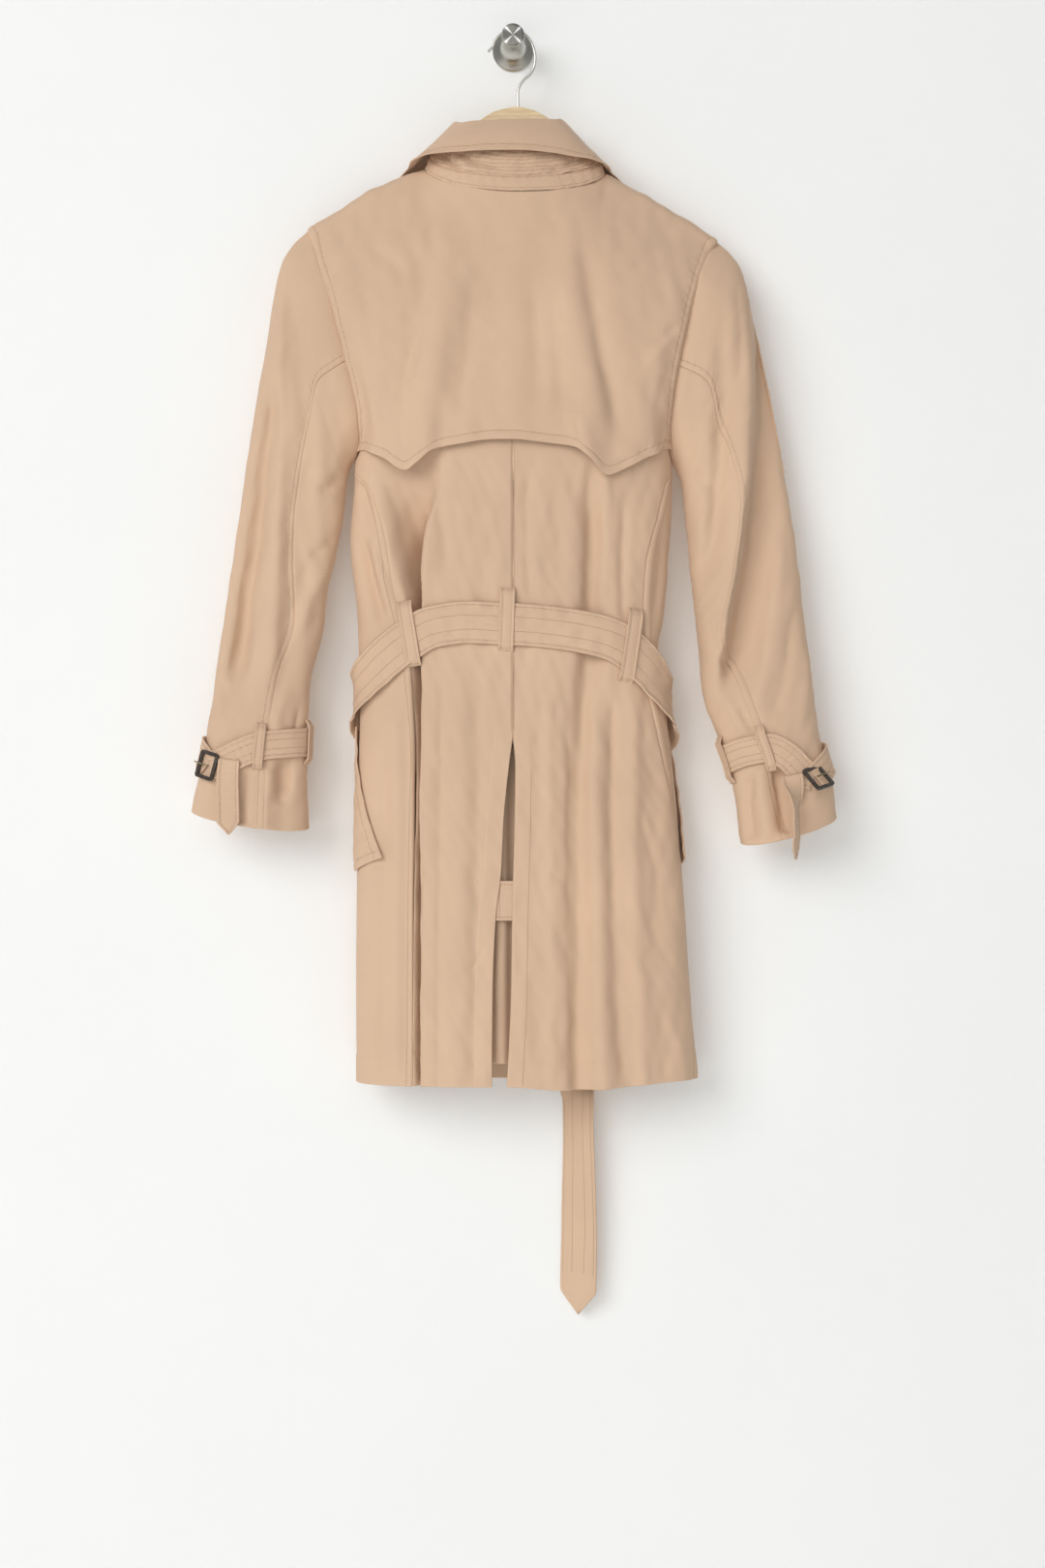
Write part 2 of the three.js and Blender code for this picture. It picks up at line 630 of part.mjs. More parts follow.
// The collar's lines, from its left front end round the back of the neck to its right one: where it is
// sewn on, the
// seam above the band, the fold along its top, and its free edge.
const COLLAR = table(
  ["s", "neckX", "neckZ", "neckD", "bandX", "bandZ", "bandD", "foldX", "foldZ", "foldD", "edgeX", "edgeZ", "edgeD"],
  [
    [-1.0, -57, -176, 16.5, -56, -173, 15.0, -58, -170, 12.5, -126, -204, 13],
    [-0.8, -73, -149, 22.5, -71, -143, 21.5, -68, -131, 18, -124, -168, 14],
    [-0.7, -82, -137, 27, -78, -129, 28, -66, -111, 26, -118, -143, 24],
    [-0.62, -87, -130, 38, -83, -120, 40, -64, -97, 38, -106, -133, 40],
    [-0.5, -79, -143, 55.5, -75, -131, 55.5, -57, -92, 49, -99, -130, 62],
    [-0.36, -56, -155, 67, -53, -141, 66, -49, -91, 58, -81, -127, 78],
    [-0.18, -29, -160.5, 73.5, -28, -146, 72, -27, -90.5, 63, -44, -125.5, 84],
    [0, 2, -163, 76, 2, -149, 74, -5, -89.5, 64, -3, -124.5, 86],
    [0.18, 33, -161.5, 73.5, 31, -147, 72, 17, -89, 63, 38, -127, 84],
    [0.36, 61, -157, 67, 57, -142.5, 66, 40, -88, 58, 75, -132, 78],
    [0.5, 83, -147, 55.5, 79, -134.5, 55.5, 48, -89.5, 49, 94, -135, 62],
    [0.62, 91, -134.5, 38, 87, -124, 40, 57, -95, 38, 100, -137, 40],
    [0.7, 86, -142.5, 27, 82, -134.5, 28, 62, -111, 26, 114, -149, 24],
    [0.8, 77, -154, 22.5, 75, -148, 21.5, 66, -131, 18, 122, -173, 14],
    [1.0, 61, -181, 16.5, 60, -178, 15.0, 60, -174, 12.5, 128, -210, 13],
  ],
);
const COLLAR_COLUMNS = [0, 0.1, 0.15, 0.19, 0.25, 0.32, 0.41, 0.5, 0.59, 0.68, 0.75, 0.81, 0.85, 0.9, 1];

/** The level direction out of the neck. */
const fromNeck = ([x, y]) => unit([x * 0.6, y + RIDGE_DEPTH, 0]);

/** A strip of the collar between two of its lines, bowed outwards in the middle. */
function collarStrip(upper, lower, bow) {
  const at = (line, s) => ["X", "D", "Z"].map((axis) => along(COLLAR, "s", line + axis, s));
  return (c, v) => {
    const s = 2 * c - 1;
    const [x, depth, z] = at(upper, s).map((value, i) => mix(value, at(lower, s)[i], v));
    return add([x, -depth, z], fromNeck([x, -depth]), bow * Math.sin(Math.PI * v));
  };
}

// How far the band stands off the neckline at the back, over the top of the shield: full below a height
// and past a
// distance out from the shoulder seams, each with the distance over which it fades in.
const COLLAR_RAISE = { lift: 5, below: -100, height: 30, out: 2, depth: 10 };

function addCollar() {
  const lift = ([, y, z]) => {
    const { below, height, out, depth } = COLLAR_RAISE;
    return COLLAR_RAISE.lift * ease((below - z) / height) * ease((-y - RIDGE_DEPTH - out) / depth);
  };
  const options = { lift, out: fromNeck, inset: BAND_GAP };
  place("collar_band", wall(collarStrip("band", "neck", 0.5), COLLAR_COLUMNS, [0, 1], options));
  const rows = [0, 0.3, 0.65, 1];
  const inner = { ...options, inset: STAND_GAP };
  place("collar_stand", wall(collarStrip("fold", "band", 2), COLLAR_COLUMNS, rows, inner));
  const fall = (c, v) => {
    const point = collarStrip("fold", "edge", 4)(c, v);
    const shifted = add(point, fromNeck(point), FALL_SHIFT.out * (1 - v));
    return add(shifted, [0, 0, 1], FALL_SHIFT.up * (1 - v));
  };
  place("collar_fall", wall(fall, COLLAR_COLUMNS, [0, 0.25, 0.6, 1], { out: fromNeck, inset: 0 }));
}

// ---- sleeves ----

// Sections across each sleeve from the armhole (v = 0) to the cuff (v = 1): its outer and inner end in
// the view from
// the room, with their depths, how far it bulges to the room and to the wall between them, and where
// the back seam
// crosses it, from 0 at the outer end to 1 at the inner one.
const SLEEVE_COLUMNS = ["v", "outX", "outZ", "inX", "inZ", "outD", "inD", "back", "front", "seam"];
const SLEEVE = {
  left: table(SLEEVE_COLUMNS, [
    [0, -204, -193, -157, -428, 38, 46, 28, 22, 0.58],
    [0.06, -220, -208, -162, -433, 40, 46, 32, 23, 0.58],
    [0.12, -231, -226, -165, -442, 42, 46, 33, 24, 0.57],
    [0.18, -238, -255, -167, -453, 44, 46, 33, 25, 0.57],
    [0.25, -245, -300, -169, -466, 45, 46, 32, 25, 0.56],
    [0.33, -254, -352, -172, -487, 46, 46, 31, 25, 0.55],
    [0.42, -264, -413, -177, -515, 46, 46, 30, 25, 0.56],
    [0.52, -275, -498, -186, -553, 47, 47, 29, 25, 0.64],
    [0.62, -287, -578, -192, -600, 48, 48, 28, 25, 0.74],
    [0.72, -298, -652, -203, -645, 50, 49, 27, 25, 0.67],
    [0.8, -305, -697, -206, -690, 52, 50, 26, 25, 0.64],
    [0.88, -312, -735, -207, -727, 53, 51, 26, 26, 0.64],
    [1, -320, -776, -205, -793, 54, 52, 29, 28, 0.64],
  ]),
  right: table(SLEEVE_COLUMNS, [
    [0, 203, -204, 158, -428, 38, 46, 28, 22, 0.58],
    [0.06, 219, -219, 163, -433, 40, 46, 32, 23, 0.57],
    [0.12, 230, -237, 167, -441, 42, 46, 33, 24, 0.56],
    [0.18, 236, -264, 170, -452, 44, 46, 33, 25, 0.56],
    [0.25, 245, -303, 172, -468, 45, 46, 32, 25, 0.55],
    [0.33, 255, -350, 174, -490, 46, 46, 31, 25, 0.5],
    [0.42, 267, -411, 177, -520, 46, 46, 30, 25, 0.47],
    [0.52, 280, -493, 181, -562, 47, 47, 29, 25, 0.62],
    [0.62, 290, -572, 186, -608, 48, 48, 28, 25, 0.8],
    [0.72, 299, -650, 192, -665, 50, 49, 27, 25, 0.66],
    [0.8, 306, -697, 205, -700, 52, 50, 26, 25, 0.63],
    [0.88, 316, -733, 218, -738, 53, 51, 26, 26, 0.65],
    [1, 323, -782, 229, -808, 54, 52, 29, 28, 0.6],
  ]),
};
const SLEEVE_BLEND = 0.16; // share of the sleeve over which its section leaves the armhole's outline
const FRONT_SEAM_ANGLE = -2.1; // where the sleeve's front seam runs, as an angle round its section
const CUFF_SAG = { depth: 7, from: 0.85 }; // how much lower the middle of the cuff's edge hangs than its ends
// How far a sleeve starts outside its armhole, above and under, and the height below which the second
// one counts.
const ARMHOLE_SHIFT = { top: 1, left: 2.9, right: 1, from: -340, fade: 60 };

/**
 * A section of the sleeve with no folds: angle 0 is its outer end, a quarter turn the room side, a half
 * its inner
 * end.
 */
function sleeveSection(side, angle, v) {
  const at = (column) => along(SLEEVE[side], "v", column, v);
  const share = (1 - Math.cos(angle)) / 2;
  const bulge = Math.sin(angle) > 0 ? at("back") : at("front");
  const depth = mix(at("outD"), at("inD"), share) + bulge * Math.sin(angle);
  const sag = CUFF_SAG.depth * Math.abs(Math.sin(angle)) * ease((v - CUFF_SAG.from) / (1 - CUFF_SAG.from));
  return [mix(at("outX"), at("inX"), share), -depth, mix(at("outZ"), at("inZ"), share) - sag];
}

/** The point of the armhole's outline at the same angle. */
function armholePoint(side, angle) {
  const [top] = EDGE[side];
  const z = mix(top.z, UNDERARM, (1 - Math.cos(angle)) / 2);
  const face = Math.sin(angle) > 0 ? "back" : "front";
  const { top: above, from, fade } = ARMHOLE_SHIFT;
  const shift = mix(above, ARMHOLE_SHIFT[side], ease((from - z) / fade));
  const x = along(EDGE[side], "z", "x", z) + sideSign[side] * shift;
  return [x, -along(EDGE[side], "z", face, z), z];
}

function sleevePoint(side, angle, v, folds = SLEEVE_FOLDS[side]) {
  const point = sleeveSection(side, angle, v);
  const off = subtract(armholePoint(side, angle), sleeveSection(side, angle, 0));
  const joined = add(point, off, 1 - ease(v / SLEEVE_BLEND));
  const [x, y, z] = joined;
  const pressed = foldDepth(folds, x, z) * Math.max(0, Math.sin(angle)) ** 0.5;
  return [x, y + pressed * ease(v / SLEEVE_BLEND), z];
}

/** The direction out of the sleeve from the middle of its section. */
function fromSleeve(side, v) {
  const middle = sleeveSection(side, 0, v).map((value, i) => (value + sleeveSection(side, Math.PI,
      v)[i]) / 2);
  return (point) => subtract(point, middle);
}

/** A point of the sleeve moved out by a lift, with the outward normal there. No folds count here either. */
function onSleeve(side, angle, v, lift) {
  const at = (a, down) => sleevePoint(side, a, down, []);
  const point = at(angle, v);
  const around = subtract(at(angle + 0.03, v), at(angle - 0.03, v));
  const down = subtract(at(angle, v + 0.005), at(angle, v - 0.005));
  let normal = unit(cross(around, down));
  const out = fromSleeve(side, v)(point);
  if (normal.reduce((sum, value, i) => sum + value * out[i], 0) < 0) normal = normal.map((value) => -value);
  return { point: add(point, normal, lift), normal };
}

function addSleeves() {
  const rows = [0, 0.03, 0.07, 0.12, 0.18, 0.25, 0.33, 0.42, 0.51, 0.6, 0.69, 0.77, 0.84, 0.92, 1];
  for (const side of SIDES) {
    const seamAngle = (v) => Math.acos(1 - 2 * along(SLEEVE[side], "v", "seam", v));
    const out = fromSleeve(side, rows[7]);
    const top = (c, v) => sleevePoint(side, mix(seamAngle(v), FRONT_SEAM_ANGLE, c), v);
    const under = (c, v) => sleevePoint(side, mix(seamAngle(v), 2 * Math.PI + FRONT_SEAM_ANGLE, c), v);
    place(`sleeve_${side}_top`, wall(top, even(10), rows, { out, inset: SLEEVE_GAP }));
    place(`sleeve_${side}_under`, wall(under, even(6), rows, { out, inset: SLEEVE_GAP }));
  }
}

// ---- cuff straps ----

// Each strap's way round its cuff, from the buckle out over the outer edge, round the front and back
// across the room
// side to the buckle again: the angle, how far down the sleeve, and how far off it.
const STRAP = {
  left: table(["angle", "v", "lift"], [
    [0.62, 0.872, 3],
    [0.35, 0.852, 3],
    [0, 0.838, 3.6],
    [-1.1, 0.838, 3.2],
    [-3.3, 0.838, 3],
    [-4.3, 0.838, 3],
    [-4.6, 0.84, 3.2],
    [-4.95, 0.853, 4.4],
    [-5.3, 0.868, 4],
    [-5.58, 0.874, 3],
  ]),
  right: table(["angle", "v", "lift"], [
    [0.88, 0.898, 3],
    [0.5, 0.876, 3],
    [0, 0.858, 3],
    [-1.1, 0.852, 4],
    [-3.3, 0.852, 4],
    [-4.1, 0.838, 3.2],
    [-4.6, 0.832, 3],
    [-4.85, 0.85, 4.2],
    [-5.1, 0.884, 3],
    [-5.34, 0.898, 2.6],
  ]),
};
const STRAP_WIDTH = 27;
const CUFF_LOOPS = { left: [-3.34, -4.58], right: [-3.4, -4.5] }; // angles of the two loops
const CUFF_LOOP = { width: 9, length: 44, lift: 6.2, seat: 1.9, thickness: 1.6 };
const CUFF_BUCKLE = { width: 23, height: 28, bar: 3.6, thickness: 2.6, lift: 6.4 };
const CUFF_BUCKLE_SEAT = { left: { angle: 0.68, v: 0.873 }, right: { angle: 0.93, v: 0.899 } };
const CUFF_PRONG = { over: 4, width: 2, thickness: 1.6 };
// The strap's free end: how far round from the buckle it hangs, and how it turns further round as it falls.
const CUFF_TAIL = { away: 0.5, turn: 0.1, length: 74, width: 21, tip: 11, lift: 6.6, thickness: 1.8,
    above: 4 };
const CUFF_END = 0.995; // how far down the sleeve the tail still follows it
const SLEEVE_PER_V = 470; // length of a sleeve near its cuff for each unit of v

function strapStop(side, angle) {
  const at = (column) => along(STRAP[side], "angle", column, angle);
  return { ...onSleeve(side, angle, at("v"), at("lift")), width: STRAP_WIDTH };
}

/** A loop across a band: stops that start and end near the cloth and pass over the band between. */
function loopStops(seatAt, width, length, { lift, seat }) {
  const half = length / 2;
  const rise = 5;
  return [-half, -half + rise, -half * 0.3, half * 0.3, half - rise, half].map((distance) => ({
    ...seatAt(distance, Math.abs(distance) > half - 1 ? seat : lift),
    width,
  }));
}

/** A rectangular frame of round-cornered outline in its own x-z plane, with its thickness along y. */
function frameGeometry({ width, height, bar, thickness }) {
  const corner = bar;
  const outline = (w, h, r) => {
    const shape = new THREE.Shape();
    shape.moveTo(-w / 2 + r, -h / 2).lineTo(w / 2 - r, -h / 2);
    const [x, y, turn] = [w / 2 - r, h / 2 - r, Math.PI / 2];
    shape.absarc(x, -y, r, -turn, 0).absarc(x, y, r, 0, turn);
    shape.absarc(-x, y, r, turn, 2 * turn).absarc(-x, -y, r, 2 * turn, 3 * turn);
    return shape;
  };
  const shape = outline(width, height, corner);
  shape.holes.push(outline(width - 2 * bar, height - 2 * bar, corner / 4));
  const geometry = new THREE.ExtrudeGeometry(shape, { depth: thickness, bevelEnabled: false,
      curveSegments: 3 });
  return geometry.translate(0, 0, -thickness / 2).rotateX(Math.PI / 2);
}

/** The place of a frame on a seat: its thickness lies along the seat's normal and its height along up. */
function seatMatrix({ point, normal }, up) {
  const depth = new THREE.Vector3(...normal).normalize();
  const across = new THREE.Vector3(...up).cross(depth).normalize();
  const top = depth.clone().cross(across);
  return new THREE.Matrix4().makeBasis(across, depth.clone().negate(), top).setPosition(...point);
}

/** A buckle's prong, which lies on its frame from the middle out past one side. */
function prongGeometry(matrix, frame, direction, { over, width, thickness }) {
  const lift = (frame.thickness + thickness) / 2 + 0.4;
  const stops = [-3, (-direction * frame.width) / 4, frame.width / 2 + over].map((x, i) => ({
    point: new THREE.Vector3(i === 1 ? 0 : direction * x, -lift, 0).applyMatrix4(matrix).toArray(),
    normal: new THREE.Vector3(0, -1, 0).transformDirection(matrix).toArray(),
    width,
  }));
  return band(stops, thickness);
}

/** The free end of the strap, which hangs from the buckle to its point. */
function tailStops(side) {
  const { away, turn, length, width, tip, lift, above } = CUFF_TAIL;
  const seat = CUFF_BUCKLE_SEAT[side];
  return [0, 10, 22, 36, 50, length - tip, length].map((distance) => {
    const v = seat.v + (distance - above) / SLEEVE_PER_V;
    const angle = seat.angle + away + turn * ease(distance / length);
    const { point, normal } = onSleeve(side, angle, Math.min(v, CUFF_END), lift);
    const below = Math.max(0, (v - CUFF_END) * SLEEVE_PER_V);
    return { point: add(point, [0, 0, -below]), normal, width: distance === length ? 1 : width };
  });
}

function addCuffs() {
  for (const side of SIDES) {
    const { angle, v } = CUFF_BUCKLE_SEAT[side];
    const angles = even(28).map((t) => mix(STRAP[side][0].angle, STRAP[side].at(-1).angle, t));
    place(`cuff_strap_${side}`, band(angles.map((at) => strapStop(side, at))));
    CUFF_LOOPS[side].forEach((loopAngle, i) => {
      const middle = along(STRAP[side], "angle", "v", loopAngle);
      const seatAt = (distance, lift) => onSleeve(side, loopAngle, middle + distance / SLEEVE_PER_V, lift);
      const stops = loopStops(seatAt, CUFF_LOOP.width, CUFF_LOOP.length, CUFF_LOOP);
      place(`cuff_loop_${side}_${i + 1}`, band(stops, CUFF_LOOP.thickness));
    });
    const matrix = seatMatrix(onSleeve(side, angle, v, CUFF_BUCKLE.lift), [sideSign[side] * -0.3, 0, 0.95]);
    place(`cuff_buckle_${side}`, frameGeometry(CUFF_BUCKLE).applyMatrix4(matrix), HORN);
    place(`cuff_prong_${side}`, prongGeometry(matrix, CUFF_BUCKLE, sideSign[side], CUFF_PRONG), BRASS);
    place(`cuff_tail_${side}`, band(tailStops(side), CUFF_TAIL.thickness));
  }
}

// ---- belt ----

// The belt's way round the coat from its left front end: way counts below 0 on the left and above on
// the right.
const BELT = table(["way", "z"], [
  [-2.1, -722],
  [-2, -720],
  [-1.6, -708],
  [-1.3, -690],
  [-1.15, -677],
  [-1, -665],
  [-0.88, -656],
  [-0.7, -640],
  [-0.57, -626],
  [-0.4, -607],
  [-0.266, -594],
  [-0.12, -590],
  [0, -592],
  [0.11, -595],
  [0.26, -600],
  [0.41, -607],
  [0.55, -619],
  [0.7, -638],
  [0.85, -661],
  [1, -677],
  [1.15, -690],
  [1.3, -700],
  [1.6, -714],
  [2, -723],
]);
const BELT_WIDTH = 40;
const BELT_LIFT = { back: 3.4, front: 5.8 };
// The loops that hold the belt; each one's lift is counted from the belt's.
const BELT_LOOPS = table(["name", "topX", "topZ", "bottomX", "bottomZ", "lift"], [
  ["left", -107, -566, -97, -638, 2.4],
  ["centre", -5, -557, -7, -621, 2.4],
  ["right", 121, -573, 110, -656, 3.9],
]);
const BELT_LOOP = { width: 14, seat: 1.9, thickness: 1.6 };
const BELT_BUCKLE = { width: 44, height: 56, bar: 6, thickness: 3, x: 58, z: -722, lift: 8.9 };
const BELT_PRONG = { over: 2, width: 3, thickness: 2 };
// The belt's free end below its buckle: height, place across, depth and how far it is turned about its
// length.
const BELT_TAIL = table(["z", "x", "depth", "turn"], [
  [-750.5, 63, 9, 0],
  [-800, 65, 9, 0.1],
  [-900, 66, 9, 0.2],
  [-1000, 66, 10, 0.3],
  [-1050, 66, 10.5, 0.34],
  [-1070, 66, 18, 0.75],
  [-1090, 66, 19, 0.76],
  [-1121, 66.5, 18, 0.72],
  [-1200, 67, 15, 0.52],
  [-1266, 66, 14, 0.5],
  [-1288, 66, 14, 0.5],
]);

const beltLift = (way) => mix(BELT_LIFT.back, BELT_LIFT.front, ease((Math.abs(way) - 0.5) / 0.4));

function beltStop(way) {
  const at = onBody(sideOf(way), Math.abs(way), along(BELT, "way", "z", way), beltLift(way));
  return { ...at, width: BELT_WIDTH };
}

function addBelt() {
  const stretch = (from, to, steps) => band(even(steps).map((t) => beltStop(mix(from, to, t))));
  place("belt_back", stretch(-0.985, 0.985, 30));
  place("belt_front_left", stretch(-0.996, -2.05, 16));
  place("belt_front_right", stretch(1.76, 1.006, 12));
  const matrix = seatMatrix(onFront(BELT_BUCKLE.x, BELT_BUCKLE.z, BELT_BUCKLE.lift), [0, 0, 1]);
  place("belt_buckle", frameGeometry(BELT_BUCKLE).applyMatrix4(matrix), HORN);
  place("belt_prong", prongGeometry(matrix, BELT_BUCKLE, 1, BELT_PRONG), BRASS);
  const tail = BELT_TAIL.map(({ z, x, depth, turn }, i) => ({
    point: [x, -depth, z],
    normal: [Math.sin(turn), Math.cos(turn), 0],
    width: i === BELT_TAIL.length - 1 ? 1 : BELT_WIDTH,
  }));
  place("belt_tail", band(tail));
  for (const loop of BELT_LOOPS) {
    const length = Math.hypot(loop.topX - loop.bottomX, loop.topZ - loop.bottomZ);
    const seatAt = (distance, lift) => {
      const t = distance / length + 0.5;
      return onBack(mix(loop.topX, loop.bottomX, t), mix(loop.topZ, loop.bottomZ, t), lift);
    };
    const middleX = (loop.topX + loop.bottomX) / 2;
    const way = wayAt(sideOf(middleX), middleX, (loop.topZ + loop.bottomZ) / 2);
    const sizes = { lift: beltLift(way) + loop.lift, seat: BELT_LOOP.seat };
    place(`belt_loop_${loop.name}`, band(loopStops(seatAt, BELT_LOOP.width, length, sizes), BELT_LOOP.thickness));
  }
}

// ---- hanger and wall knob ----

const KNOB = table(["radius", "depth"], [
  [0, 0],
  [21, 0],
  [21, 1.6],
  [19.4, 2.8],
  [14, 5.5],
  [10.2, 10],
  [8, 17],
  [7, 26],
  [7, 40],
  [8, 44.5],
  [10.4, 48],
  [11.6, 50.6],
  [11.3, 52.5],
  [10.6, 53],
  [0, 53],
]);

function addKnob() {
  const profile = KNOB.map(({ radius, depth }) => new THREE.Vector2(radius, depth));
  const knob = place("wall_knob", new THREE.LatheGeometry(profile, 24), STEEL);
  knob.rotation.x = Math.PI;
}

// The hanger's upper edge between the shoulders, where it rises to its middle.
const HANGER_CREST = table(["x", "z"], [
  [-105, -147],
  [-88, -144.6],
  [-75, -124.5],
  [-60, -108],
  [-45, -93],
  [-33, -82.5],
  [-18, -73.5],
  [4, -69],
  [18, -71.5],
  [31, -77.5],
  [45, -88],
  [60, -103.5],
  [75, -121],
  [89, -149.5],
  [105, -154],
]);
// The arms lie a seat below the shoulder seams and start past armX, and clear is how far their ends
// stay inside them.
const HANGER = {
  thickness: 10, bevel: 2.6, seat: 2.8, armX: 94, armHeight: 17, lowerZ: -116, lowerFall: 0.34, clear: 17,
};

/**
 * Height of the hanger's upper edge: its crest, then arms that follow the shoulder seams just inside
 * them.
 */
function hangerTop(x) {
  const seam = SHOULDER[sideOf(x)];
  const arm = along(seam, "x", "z", x) - CLOTH / 2 - HANGER.seat;
  const crest = along(HANGER_CREST, "x", "z", x);
  if (Math.abs(x) > HANGER_CREST.at(-1).x) return arm;
  return Math.abs(x) > HANGER.armX ? Math.min(crest, arm) : crest;
}

function addHanger() {
  const ends = { left: SHOULDER.left.at(-1).x + HANGER.clear, right: SHOULDER.right.at(-1).x - HANGER.clear };
  const { thickness, bevel, armHeight, lowerZ, lowerFall } = HANGER;
  const xs = even(30).map((t) => mix(ends.left, ends.right, t));
  const upper = xs.map((x) => [x, hangerTop(x) - bevel]);
  const lower = xs.map((x) => [x, Math.min(hangerTop(x) - armHeight,
      lowerZ - Math.abs(x) * lowerFall) + bevel]);
  const shape = new THREE.Shape([...upper, ...lower.reverse()].map(([x, z]) => new THREE.Vector2(x, z)));
  const depth = thickness - 2 * bevel;
  const options = { depth, bevelEnabled: true, bevelSize: bevel, bevelThickness: bevel, bevelSegments: 1 };
  const geometry = new THREE.ExtrudeGeometry(shape, options);
  place("hanger_wood", geometry.translate(0, 0, -depth / 2).rotateX(Math.PI / 2), WOOD).position.y = -RIDGE_DEPTH;
}

// The wire hook's middle line, from the wood up and over the knob's neck to its free end.
const HOOK = table(["x", "z"], [
  [5, -69.3],
  [5, -58],
  [5.5, -50],
  [10, -42],
  [18, -34],
  [22, -24],
  [21, -10],
  [14, 3],
  [6, 8],
  [-2, 9],
  [-10, 6.5],
  [-17, 0],
  [-21, -8],
  [-25, -12.5],
]);
const HOOK_WIRE = 1.4; // radius

function addHook() {
  const curve = new THREE.CatmullRomCurve3(HOOK.map(({ x, z }) => new THREE.Vector3(x, 0, z)), false, "centripetal");
  const corner = (t) => new THREE.Vector2(HOOK_WIRE, 0).rotateAround(new THREE.Vector2(), 2 * Math.PI * t);
  const section = new THREE.Shape(even(8).slice(1).map(corner));
  const options = { steps: 34, extrudePath: curve };
  place("hanger_hook", new THREE.ExtrudeGeometry(section, options), STEEL).position.y = -RIDGE_DEPTH;
}

addBacks();
addShield();
addVent();
addFronts();
addLapels();
addWelts();
addButtons();
addCollar();
addSleeves();
addCuffs();
addBelt();
addHanger();
addHook();
addKnob();

export default coat;
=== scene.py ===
"""A belted trench coat on a wooden hanger, which hangs by its wire hook from a round steel wall knob.

The tables hold millimetres in the row frame: x to the right, z up, and depth out from the wall, so y is minus the
depth. Meshes are in metres. A way round the coat is 0 at the centre back, -1 and 1 at the left and right side, and
-2 or 2 at the centre front.
"""

from __future__ import annotations

import logging
import math
from dataclasses import dataclass
from enum import Enum
from functools import cache
from typing import Callable, Sequence

import bpy
import numpy as np
from mathutils import Matrix, Vector

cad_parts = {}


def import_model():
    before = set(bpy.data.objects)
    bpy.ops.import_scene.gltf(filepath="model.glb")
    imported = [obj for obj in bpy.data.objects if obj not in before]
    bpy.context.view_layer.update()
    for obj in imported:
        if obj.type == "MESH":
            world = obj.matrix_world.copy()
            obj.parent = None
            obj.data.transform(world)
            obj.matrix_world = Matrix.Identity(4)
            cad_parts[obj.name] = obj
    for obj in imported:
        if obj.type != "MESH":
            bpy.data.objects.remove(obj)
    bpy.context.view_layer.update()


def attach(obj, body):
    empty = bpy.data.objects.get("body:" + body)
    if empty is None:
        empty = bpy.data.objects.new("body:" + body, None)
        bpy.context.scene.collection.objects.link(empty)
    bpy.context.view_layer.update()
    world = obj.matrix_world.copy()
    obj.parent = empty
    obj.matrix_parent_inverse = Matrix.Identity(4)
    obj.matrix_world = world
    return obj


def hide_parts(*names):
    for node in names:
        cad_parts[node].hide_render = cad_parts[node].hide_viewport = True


LOG = logging.getLogger("coat")
MM = 0.001
BODY = "root"
Array = np.ndarray
Line = tuple[Array, Array]
Floats = tuple[float, ...]
Material = bpy.types.Material
Object = bpy.types.Object
Socket = bpy.types.NodeSocket

CLOTH = 1.4
BAND = 2.0
RIDGE_DEPTH = 38.0
RIDGE_ROUND = 8.0
NECK_ROUND = 1.0
SHOULDER_FALL = 130.0
NECK_RISE = 29.0
FRONT_NECK_DROP = 60.0
UNDERARM = -428.0
UNDERARM_FADE = 26.0
HEM_Z = -1046.0
BREAK_Z = -400.0
OVERLAP = 75.0
LAYER = 2.6
SQUARE_BACK = 2.6
SQUARE_FRONT = 3.4
BODY_MIDDLE = 45.0
FOLD_FADE = 60.0
GROOVE_DEPTH = 0.9
GROOVE_HALF = 1.3


class Side(Enum):
    """A side of the coat, as seen from the room."""

    LEFT = "left"
    RIGHT = "right"

    @property
    def sign(self) -> int:
        """Minus one on the left and one on the right."""
        return -1 if self is Side.LEFT else 1


class Edge(Enum):
    """An edge of a piece of cloth, in the order of its grid of points."""

    FIRST = "first column"
    LAST = "last column"
    TOP = "first row"
    BOTTOM = "last row"


class Profile(Enum):
    """How a crease's section looks."""

    SOFT = "round"
    SHARP = "pointed"


# ---- curves and small vector helpers ----


def ease(t: Array | float) -> Array:
    """Smooth step from 0 to 1, held outside that."""
    t = np.clip(t, 0.0, 1.0)
    return t * t * (3 - 2 * t)


def mix(a: Array | float, b: Array | float, t: Array | float) -> Array:
    """The value a share t of the way from a to b."""
    return a + (b - a) * t


def smooth(xs: Sequence[float], ys: Sequence[float], at: Array | float) -> Array:
    """Values of a smooth curve through points, with no overshoot and held ends.

    Args:
        xs: Places of the points, rising or falling.
        ys: Their values.
        at: Places to read.

    Returns:
        The curve's value at each place.
    """
    x, y = np.asarray(xs, float), np.asarray(ys, float)
    if x[-1] < x[0]:
        x, y = x[::-1], y[::-1]
    h = np.diff(x)
    slope = np.diff(y) / h
    tangent = np.empty_like(y)
    tangent[0], tangent[-1] = slope[0], slope[-1]
    product, total = slope[:-1] * slope[1:], slope[:-1] + slope[1:]
    tangent[1:-1] = np.where(product > 0, 2 * product / np.where(total == 0, 1, total), 0)
    at = np.clip(np.asarray(at, float), x[0], x[-1])
    i = np.clip(np.searchsorted(x, at, side="right") - 1, 0, len(h) - 1)
    t = (at - x[i]) / h[i]
    t2, t3 = t * t, t * t * t
    return (
        (2 * t3 - 3 * t2 + 1) * y[i]
        + (t3 - 2 * t2 + t) * h[i] * tangent[i]
        + (3 * t2 - 2 * t3) * y[i + 1]
        + (t3 - t2) * h[i] * tangent[i + 1]
    )


